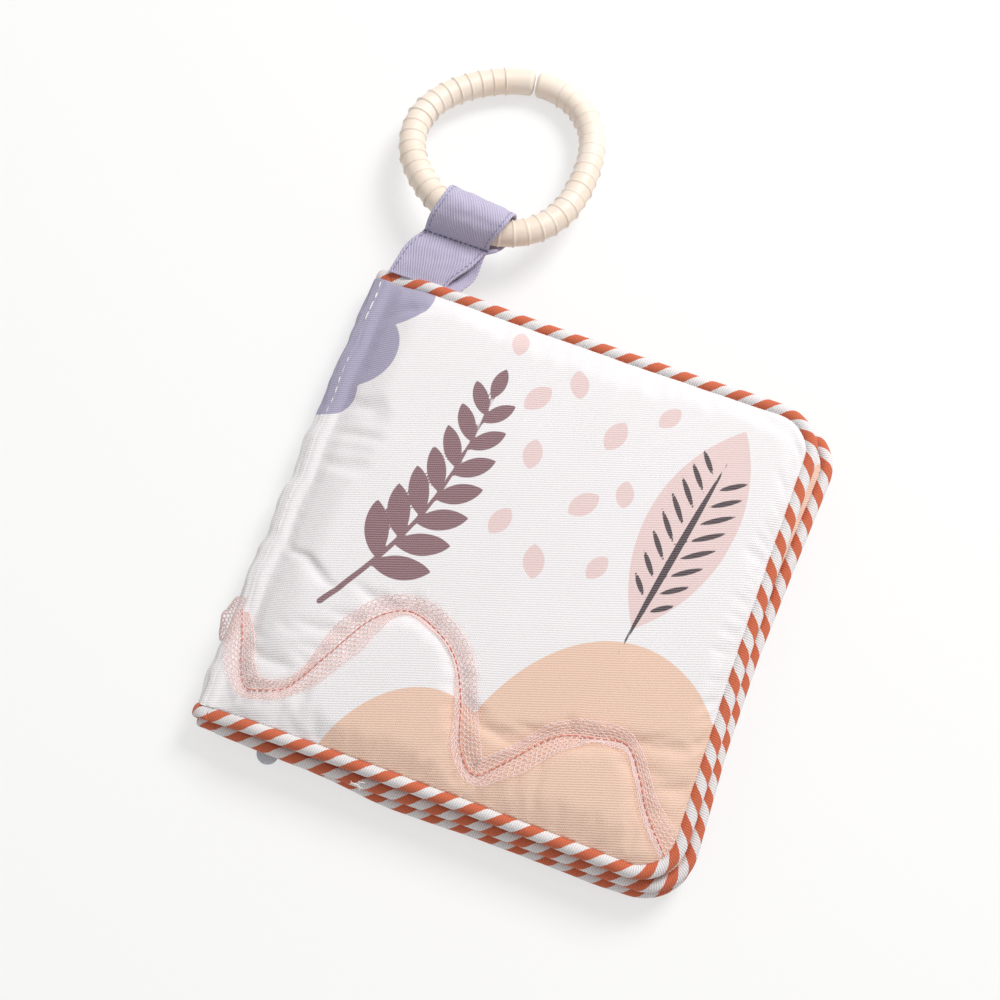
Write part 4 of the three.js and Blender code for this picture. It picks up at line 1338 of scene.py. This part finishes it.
foldLoop = {
    "angles": (152.0, 108.0),
    "foot": -39.0,
    "length": 14.5,
    "radius": 5.25,
    "bulge": 3.4,
    "chains": 9,
    "cellLength": 1.15,
    "stagger": 0.2,
    "drift": (5, 2.0, 4.0),
    "strandRadius": 0.14,
}


def makeFoldLoop():
    columns = round(foldLoop["length"] / (foldLoop["cellLength"] / 2))
    column, chain, zigzag, edges = netLattice(columns, foldLoop["chains"])
    along = column / (columns - 1)
    across = (chain + foldLoop["stagger"] * zigzag) / (foldLoop["chains"] - 1)
    low, high = foldLoop["angles"]
    angle = np.radians(low + (high - low) * across)
    drift = driftAt(along, across, *foldLoop["drift"])
    swell = np.sin(math.pi * np.clip(across, 0, 1)) ** 0.8 * np.sin(math.pi * (0.04 + 0.92 * along)) ** 0.6
    radius = foldLoop["radius"] + foldLoop["bulge"] * swell * (1 + 0.3 * drift[..., 2])
    y = foldLoop["foot"] - along * foldLoop["length"] + 0.6 * drift[..., 1]
    points = np.stack([radius * np.cos(angle), y, axisHeight + radius * np.sin(angle)], -1)
    return growOn("foldLoopNetting", points.reshape(-1, 3), edges, strandTree,
                  {"Radius": foldLoop["strandRadius"] * mm, "Sides": 4}, shadedLoopNet)


loopPiece = makeFoldLoop()

# The fold's seam shows in four runs, each from y to y with its thread's width

spineStitch = {
    "runs": [(71.5, 60.0, 0.44), (44.0, 26.0, 0.27), (-1.0, -14.0, 0.25), (-66.0, -72.0, 0.3)],
    "angle": 106.0,
    "outside": 0.3,
    "sway": 0.5,
    "lift": 0.06,
    "spacing": 3.1,
    "length": 2.6,
    "uneven": 0.42,
}


def makeSpineStitches(k, high, low, width):
    ys = np.linspace(high, low, round((high - low) * 2))
    angle = math.radians(spineStitch["angle"])
    sway = np.array([noise.noise(Vector((y * 0.2, 5.0, 0.0))) for y in ys])
    radius = bookSizes["rollRadius"] + spineStitch["outside"]
    x = radius * math.cos(angle) + spineStitch["sway"] * sway + foldWave(ys)
    z = [heightOn(a, b) + spineStitch["lift"] for a, b in zip(x, ys)]
    return stitchLine(f"spineStitches{k + 1}", np.stack([x, ys, z], -1), seamThread,
                      spacing=spineStitch["spacing"], length=spineStitch["length"], width=width,
                      height=width, uneven=spineStitch["uneven"], seed=7 + k)


spineStitches = [makeSpineStitches(k, *run) for k, run in enumerate(spineStitch["runs"])]
print("stitches made")

# The strap: one folded tape round the ring, sewn through below it

strap = {
    "width": 23.0,
    "thickness": 0.95,
    "middle": [(-3, 9.4), (0, 10.2), (7, 13.3), (14, 16.5), (19, 18.6), (23.5, 20.0), (31, 20.9)],
    "rearShift": 4.5,
    "stitchReach": 14.0,
    "pocketReach": 23.5,
    "pocketDeep": 7.05,
    "pocketTall": 8.25,
    "skew": 2.2,
    "pucker": 0.5,
    "waistDraw": 0.045,
    "rootDraw": 0.15,
    "stitchInset": 1.35,
    "blend": (-1.6, 2.4),
}
ringPlace = inBook(jointPlaces["ring_swing"])
strapPlace = inBook(jointPlaces["strap_fold"])
pocketHeight = ringPlace[2] - strapPlace[2]
waistHeight = pocketHeight * strap["stitchReach"] / strap["pocketReach"]


def strapCentreline():
    angles = np.radians(np.linspace(112, -112, 41))
    loop = np.stack([strap["pocketReach"] + strap["pocketDeep"] * np.cos(angles),
                     pocketHeight + strap["pocketTall"] * np.sin(angles)], -1)
    front = [(-3.1, 0.3), (-1.4, 0.6), (0.4, 1.1), (4, 1.6), (8, 1.8), (11.5, 1.65),
             (14, waistHeight + 0.52), (14.8, 3.6), (16, 6.1), (18.1, 8.3)]
    rear = [(18.1, -4.5), (16, -2.3), (14.8, 0), (14, waistHeight - 0.52), (11, -0.4), (7, -1.5),
            (3, -1.6), (-1.4, -0.7), (-3.1, -0.3)]
    knots = np.concatenate([front, loop, rear])
    return smoothLine(knots, 0.75)


def strapPucker(line, across):
    waves = [twoNoises((a * 0.17, b * 0.16, 5.0), (a * 0.4, b * 0.35, 1.0), 0.4)
             for b, row in zip(line[:, 0], across) for a in row]
    loose = smooth(np.abs(line[:, 0] - strap["stitchReach"]) / 4) * smooth((line[:, 0] - 0.5) / 4)
    return strap["pucker"] * np.array(waves).reshape(across.shape) * loose[:, None]


def strapSurface(line, across, lift, isRear):
    tangent = np.gradient(line, axis=0)
    tangent /= np.linalg.norm(tangent, axis=1)[:, None]
    out = np.stack([-tangent[:, 1], tangent[:, 0]], -1)
    spot = line[:, None, :] + out[:, None, :] * (lift + strapPucker(line, across))[..., None]
    middle = softTable(strap["middle"], line[:, 0], 1.5)
    shift = np.where(isRear, strap["rearShift"] * (1 - smooth(line[:, 0] / strap["stitchReach"])), 0)
    narrow = 1 - strap["waistDraw"] * np.exp(-((line[:, 0] - strap["stitchReach"]) / 3.0) ** 2)
    narrow = narrow - strap["rootDraw"] * (1 - smooth((line[:, 0] + 1.5) / 9))
    x = (middle + shift)[:, None] + across * narrow[:, None]
    skewed = strap["skew"] * smooth((line[:, 0] - strap["stitchReach"]) / 12)[:, None]
    y = strapPlace[1] + spot[..., 0] - skewed * (0.5 + across / strap["width"])
    return np.stack([x, y, strapPlace[2] + spot[..., 1]], -1)


def makeStrap():
    line = strapCentreline()
    isRear = np.arange(len(line)) > len(line) / 2
    half = strap["width"] / 2
    thick = strap["thickness"] / 2
    flat = np.linspace(-(half - thick), half - thick, 41)
    groove = 0.2 * np.exp(-((np.abs(flat) - (half - strap["stitchInset"])) / 0.45) ** 2)
    turn = np.radians(np.linspace(0, 180, 7)[1:-1])
    across = np.concatenate([flat, half - thick + thick * np.sin(turn), flat[::-1],
                             -(half - thick) - thick * np.sin(turn)])
    lift = np.concatenate([thick - groove, thick * np.cos(turn), -thick + 0 * flat, -thick * np.cos(turn)])
    count = len(line)
    rings = strapSurface(line, np.broadcast_to(across, (count, len(across))),
                         np.broadcast_to(lift, (count, len(lift))), isRear)[:, ::-1]
    length = np.concatenate([[0], np.cumsum(np.linalg.norm(np.diff(line, axis=0), axis=1))])
    wide = np.append(across[::-1], across[-1])
    places = np.stack(np.broadcast_arrays(wide[None, :], length[:, None]), -1)
    return tubeMesh("strapTape", rings, places, strapTwill), line, isRear


strapPiece, strapLine, strapRear = makeStrap()


def alongStrap(across, lift):
    front = ~strapRear
    column = np.ones((front.sum(), 1))
    return strapSurface(strapLine[front], across * column, lift * column, strapRear[front])[:, 0]


def strapStitches():
    found = []
    half = strap["width"] / 2
    face = strap["thickness"] / 2
    for k, hand in enumerate((-1, 1)):
        path = alongStrap(hand * (half - strap["stitchInset"]), face - 0.05)
        found.append(stitchLine(f"strapEdgeStitches{k + 1}", path[2:], strapThread, spacing=1.9, length=1.4,
                                width=0.26, height=0.26, uneven=0.3, seed=11 + k))
    waist = np.argmin(np.abs(strapLine[~strapRear][:, 0] - strap["stitchReach"]))
    cross = [alongStrap(across, face + 0.05)[waist] for across in np.linspace(-half + 0.6, half - 0.4, 60)]
    found.append(stitchLine("strapCrossStitches", np.array(cross), waistThread, spacing=1.7, length=1.6,
                            width=0.5, height=0.45, uneven=0.35, seed=15))
    return found


seamEnd = {"reach": (3.3, 2.0), "stretch": 1.3, "tall": 0.95, "thick": 0.6, "steps": 12, "sides": 16}


def makeSeamEnd():
    start = np.array((np.interp(strap["stitchReach"], *zip(*strap["middle"])) + strap["width"] / 2 - 1.6,
                      strapPlace[1] + strap["stitchReach"] - 0.9, strapPlace[2] + waistHeight + 0.1))
    heading = np.array((*seamEnd["reach"], 0.0))
    unit = heading / np.linalg.norm(heading)
    side = np.array((-unit[1], unit[0], 0.0))
    up = np.array((0, 0, 1))
    angles = math.tau * np.arange(seamEnd["sides"]) / seamEnd["sides"]
    wide = seamEnd["tall"] * np.cos(angles)[:, None] * side
    deep = seamEnd["thick"] * np.sin(angles)[:, None] * up
    steps = np.linspace(0, 1, seamEnd["steps"])
    rings = []
    for s in steps:
        size = math.sqrt(max(1 - s ** 4, 0.03)) * (1 - 0.15 * math.sin(math.pi * s))
        rings.append(start + heading * s * seamEnd["stretch"] + size * (wide + deep))
    places = np.stack(np.broadcast_arrays(np.append(angles, math.tau)[None, :], 4 * steps[:, None]), -1)
    return tubeMesh("strapSeamEnd", np.array(rings), places, strapTwill)


strapThreads = strapStitches() + [makeSeamEnd()]
print("strap made")

# The ring: an open arc whose radius follows the ribs, made by geometry nodes

ring = {
    "centreline": 30.6,
    "section": 4.3,
    "oval": 1.0,
    "pear": 1.45,
    "ribHeight": 0.42,
    "ribHalfWidth": 0.42,
    "coneHeight": 0.2,
    "ribCount": 41,
    "plainEnd": 8.0,
    "endRound": 1.5,
    "split": 0.75,
    "tilt": 11.2,
    "nearShift": -2.75,
    "middleX": 19.2,
    "pointsPerRib": 18,
    "sides": 30,
}


def buildRingTree():
    labels = ["Centreline", "Oval", "Pear", "Section", "Rib Height", "Rib Half Width", "Cone Height",
              "Rib Count", "Plain End", "End Round", "Sweep"]
    tree, given, result = geometryTree("ribbedRing", [(label, "NodeSocketFloat") for label in labels]
                                       + [("Points", "NodeSocketInt"), ("Sides", "NodeSocketInt")])
    gap = calc(tree, "SUBTRACT", math.tau, given["Sweep"])
    startAngle = calc(tree, "ADD", math.pi / 2, calc(tree, "DIVIDE", gap, 2.0))
    circle = addNode(tree, "GeometryNodeCurveArc",
                     {"Resolution": given["Points"], "Radius": given["Centreline"], "Start Angle": startAngle,
                      "Sweep Angle": given["Sweep"]}, mode="RADIUS").outputs["Curve"]
    spot = addNode(tree, "GeometryNodeInputPosition").outputs[0]
    parts = addNode(tree, "ShaderNodeSeparateXYZ", {0: spot}).outputs
    angle = calc(tree, "ARCTAN2", parts[1], parts[0])
    oval = calc(tree, "MULTIPLY", calc(tree, "COSINE", calc(tree, "MULTIPLY", angle, 2.0)), given["Oval"])
    pear = calc(tree, "MULTIPLY", calc(tree, "COSINE", calc(tree, "MULTIPLY", angle, 3.0)), given["Pear"])
    outward = addNode(tree, "ShaderNodeVectorMath", {0: spot}, operation="NORMALIZE").outputs[0]
    push = addNode(tree, "ShaderNodeVectorMath",
                   {0: outward, "Scale": calc(tree, "MULTIPLY", calc(tree, "ADD", oval, pear), -1.0)},
                   operation="SCALE").outputs[0]
    arc = addNode(tree, "GeometryNodeSetPosition", {"Geometry": circle, "Offset": push}).outputs[0]
    wholeLength = addNode(tree, "GeometryNodeCurveLength", {0: arc}).outputs[0]
    along = addNode(tree, "GeometryNodeSplineParameter").outputs["Length"]
    ribbedLength = calc(tree, "SUBTRACT", wholeLength, calc(tree, "MULTIPLY", given["Plain End"], 2.0))
    pitch = calc(tree, "DIVIDE", ribbedLength, given["Rib Count"])
    fromRibs = calc(tree, "DIVIDE", calc(tree, "SUBTRACT", along, given["Plain End"]), pitch)
    turn = calc(tree, "FRACT", fromRibs)
    offRib = calc(tree, "MULTIPLY", calc(tree, "ABSOLUTE", calc(tree, "SUBTRACT", turn, 0.5)), pitch)
    ribbed = calc(tree, "SUBTRACT", 1.0, softEdge(tree, offRib, 0.0, given["Rib Half Width"]))
    cone = calc(tree, "SUBTRACT", calc(tree, "FRACT", calc(tree, "ADD", turn, 0.5)), 0.5)
    toEnd = calc(tree, "MINIMUM", along, calc(tree, "SUBTRACT", wholeLength, along))
    plainEnd = calc(tree, "SUBTRACT", given["Plain End"], 0.2 * mm)
    ribStart = calc(tree, "ADD", given["Plain End"], 0.4 * mm)
    past = addNode(tree, "ShaderNodeMapRange", {0: toEnd, 1: plainEnd, 2: ribStart}).outputs[0]
    ribRise = calc(tree, "MULTIPLY", ribbed, given["Rib Height"])
    coneRise = calc(tree, "MULTIPLY", cone, given["Cone Height"])
    raised = calc(tree, "MULTIPLY", past, calc(tree, "ADD", ribRise, coneRise))
    share = calc(tree, "MINIMUM", calc(tree, "DIVIDE", toEnd, given["End Round"]), 1.0)
    left = calc(tree, "SUBTRACT", 1.0, share)
    under = calc(tree, "SUBTRACT", 1.0, calc(tree, "MULTIPLY", left, left))
    rounded = calc(tree, "SQRT", calc(tree, "MAXIMUM", under, 0.0))
    endShape = calc(tree, "MULTIPLY_ADD", rounded, 0.4, 0.6)
    radius = calc(tree, "ADD", calc(tree, "MULTIPLY", given["Section"], endShape), raised)
    profile = addNode(tree, "GeometryNodeCurvePrimitiveCircle",
                      {"Resolution": given["Sides"], "Radius": 1.0}).outputs[0]
    body = addNode(tree, "GeometryNodeCurveToMesh",
                   {"Curve": arc, "Profile Curve": profile, "Scale": radius, "Fill Caps": True}).outputs[0]
    return closeTree(tree, given, result, body)


def makeRing():
    length = math.tau * ring["centreline"] - ring["split"]
    sizes = {
        "Centreline": ring["centreline"] * mm, "Oval": ring["oval"] * mm, "Pear": ring["pear"] * mm,
        "Section": ring["section"] * mm, "Rib Height": ring["ribHeight"] * mm,
        "Rib Half Width": ring["ribHalfWidth"] * mm, "Cone Height": ring["coneHeight"] * mm,
        "Rib Count": float(ring["ribCount"]), "Plain End": ring["plainEnd"] * mm,
        "End Round": ring["endRound"] * mm, "Sweep": length / ring["centreline"],
        "Points": (ring["ribCount"] + 4) * ring["pointsPerRib"], "Sides": ring["sides"],
    }
    piece = growOn("teethingRing", np.zeros((2, 3)), [(0, 1)], buildRingTree(), sizes, ivory)
    tilt = math.radians(ring["tilt"])
    reach = ring["centreline"] + ring["oval"]
    centre = ringPlace + np.array((ring["middleX"] - ringPlace[0], ring["nearShift"] + reach * math.cos(tilt),
                                   -reach * math.sin(tilt)))
    points = np.zeros(len(piece.data.vertices) * 3)
    piece.data.vertices.foreach_get("co", points)
    x, y, z = points.reshape(-1, 3).T / mm
    cosine = math.cos(tilt)
    sine = math.sin(tilt)
    turned = np.stack([x, y * cosine + z * sine, z * cosine - y * sine], -1)
    piece.data.vertices.foreach_set("co", inFrame(turned + centre).reshape(-1))
    piece.data.update()
    return piece


ringPiece = makeRing()
print("ring made", len(ringPiece.data.polygons), "faces")

# A folded scrap of cloth in the foot seam

footTab = {"width": 7.2, "reach": 5.2, "half": 0.7}


def makeFootTab():
    low, high = [inBook(corner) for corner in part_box("foot_tab")]
    middle = (low + high) / 2
    steps = 1 - np.linspace(1, 0, 16) ** 1.7
    angles = math.tau * (np.arange(24) + 0.5) / 24
    rings = []
    for s in steps:
        half = footTab["width"] / 2 * math.sqrt(max(1 - s ** 3, 0.01))
        tall = footTab["half"] * math.sqrt(max(1 - s ** 4, 0.04))
        shape = np.sign(np.cos(angles)) * np.abs(np.cos(angles)) ** 0.7 * half
        rise = np.sign(np.sin(angles)) * np.abs(np.sin(angles)) ** 0.8 * tall
        rings.append(np.stack([middle[0] + shape, high[1] - s * footTab["reach"] + 0 * shape,
                               middle[2] + rise], -1))
    rings = np.array(rings)[:, ::-1]
    wide = np.append(rings[0, :, 0], rings[0, 0, 0])
    places = np.stack(np.broadcast_arrays(wide[None, :], (steps * footTab["reach"])[:, None]), -1)
    return tubeMesh("footTab", rings, places, tabCotton)


tabPiece = makeFootTab()
print("tab made")

# A few loose thread ends between the foot pipings

fray = {"place": (51.3, -79.6, 16.2), "threads": 6, "length": 2.8, "radius": 0.13}


def makeFray():
    points = []
    edges = []
    for k in range(fray["threads"]):
        angle = math.tau * k / fray["threads"] + 0.7
        reach = fray["length"] * (0.7 + 0.12 * ((3 * k) % 4))
        for s in np.linspace(0, 1, 7):
            bend = angle + 0.9 * s * (-1) ** k
            if s > 0:
                edges.append((len(points) - 1, len(points)))
            points.append(np.array(fray["place"]) + np.array((math.cos(bend), 0.55 * math.sin(bend),
                                                              0.35 * math.sin(math.pi * s))) * reach * s)
    return growOn("footThreads", np.array(points), edges, strandTree,
                  {"Radius": fray["radius"] * mm, "Sides": 5}, seamThread)


frayPiece = makeFray()

# Bodies, and what each piece stands for


def coverNodes(body):
    return [f"{body}_{layer}" for layer in ("outer_fabric", "inner_fabric", "wadding", "crinkle_film")]


def pageNodes(body):
    return [f"{body}_{layer}" for layer in ("top_fabric", "bottom_fabric", "wadding")]


for piece in [frontPanel, ribbonPiece, ribbonStitches] + spineStitches:
    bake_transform(piece)
for piece in [strapPiece] + strapThreads:
    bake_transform(piece)
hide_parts(*coverNodes("front_cover"))
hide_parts("mesh_ribbon_front")
for piece, body in ((backPanel, "back_cover"), (lowerPanel, "lower_page"), (upperPanel, "upper_page"),
                    (roll, "back_cover"), (loopPiece, "back_cover"), (tabPiece, "back_cover"),
                    (frayPiece, "upper_page"), (ringPiece, "teething_ring")):
    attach(piece, body)
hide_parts(*coverNodes("back_cover"))
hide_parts(*pageNodes("lower_page"))
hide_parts(*pageNodes("upper_page"))
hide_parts("cover_fold_outer_fabric", "cover_fold_wadding", "cover_fold_inner_fabric",
            "page_fold_fabric", "page_fold_wadding")
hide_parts("mesh_ribbon_fold_loop")
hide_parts("foot_tab")
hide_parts("hanging_strap")
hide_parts("teething_ring")
for body, (piece, length) in leafPipings.items():
    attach(piece, body)
    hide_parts(f"{body}_piping", f"{body}_piping_cord")
for (panel, end), piece in foldPipings.items():
    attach(piece, "back_cover")
    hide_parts(f"{panel}_fold_piping_{end}", f"{panel}_fold_piping_cord_{end}")
print("pieces ride on their bodies")

# Floor and light

studio = {
    "floorHalf": 1.6,
    "floorPoints": 9,
    "floorColour": "f4f3f1",
    "floorGlow": 0.62,
    "worldStrength": 0.46,
    "lampPower": 4.93,
    "keyAzimuth": 158.0,
    "keyElevation": 48.0,
    "keyDistance": 1.3,
    "keySize": 0.5,
    "keyShare": 1.7,
    "fillAzimuth": -60.0,
    "fillElevation": 35.0,
    "fillDistance": 1.5,
    "fillSize": 1.2,
    "fillShare": 0.05,
}


def seenDirectly(tree):
    rays = addNode(tree, "ShaderNodeLightPath").outputs
    return calc(tree, "MAXIMUM", rays["Is Camera Ray"],
                calc(tree, "MAXIMUM", rays["Is Glossy Ray"], rays["Is Transmission Ray"]))


def addFloor():
    half = studio["floorHalf"]
    count = studio["floorPoints"]
    steps = np.linspace(-half, half, count)
    points = [(x, y, 0) for x in steps for y in steps]
    corners = [i * count + j for i in range(count - 1) for j in range(count - 1)]
    faces = [(k, k + count, k + count + 1, k + 1) for k in corners]
    mesh = bpy.data.meshes.new("paleFloor")
    mesh.from_pydata(points, [], faces)
    floor = bpy.data.objects.new("paleFloor", mesh)
    scene.collection.objects.link(floor)
    material = bpy.data.materials.new("paleFloor")
    material.use_nodes = True
    tree = material.node_tree
    shader = tree.nodes["Principled BSDF"]
    shader.inputs["Base Color"].default_value = fromHex(studio["floorColour"])
    shader.inputs["Roughness"].default_value = 0.9
    glow = addNode(tree, "ShaderNodeEmission", {"Color": (1, 1, 1, 1), "Strength": 1.0})
    share = calc(tree, "MULTIPLY", seenDirectly(tree), studio["floorGlow"])
    mixed = addNode(tree, "ShaderNodeMixShader", {0: share, 1: shader.outputs[0], 2: glow.outputs[0]})
    tree.links.new(mixed.outputs[0], tree.nodes["Material Output"].inputs["Surface"])
    mesh.materials.append(material)


def addWorld():
    world = bpy.data.worlds.new("paleStudio")
    world.use_nodes = True
    scene.world = world
    tree = world.node_tree
    background = tree.nodes["Background"]
    background.inputs["Color"].default_value = (1, 1, 1, 1)
    level = addNode(tree, "ShaderNodeMapRange",
                    {0: seenDirectly(tree), 3: studio["worldStrength"], 4: 1.0}).outputs[0]
    tree.links.new(level, background.inputs["Strength"])


def addLamp(name):
    light = bpy.data.lights.new(name + "Light", "AREA")
    distance = studio[name + "Distance"]
    light.size = studio[name + "Size"]
    light.energy = studio["lampPower"] * distance ** 2 * studio[name + "Share"]
    lamp = bpy.data.objects.new(name + "Light", light)
    back = towards(studio[name + "Azimuth"], studio[name + "Elevation"])
    lamp.location = back * distance
    lamp.rotation_euler = back.to_track_quat("Z", "Y").to_euler()
    scene.collection.objects.link(lamp)


addFloor()
addWorld()
addLamp("key")
addLamp("fill")
scene.view_settings.view_transform = "Standard"
print("stage made")
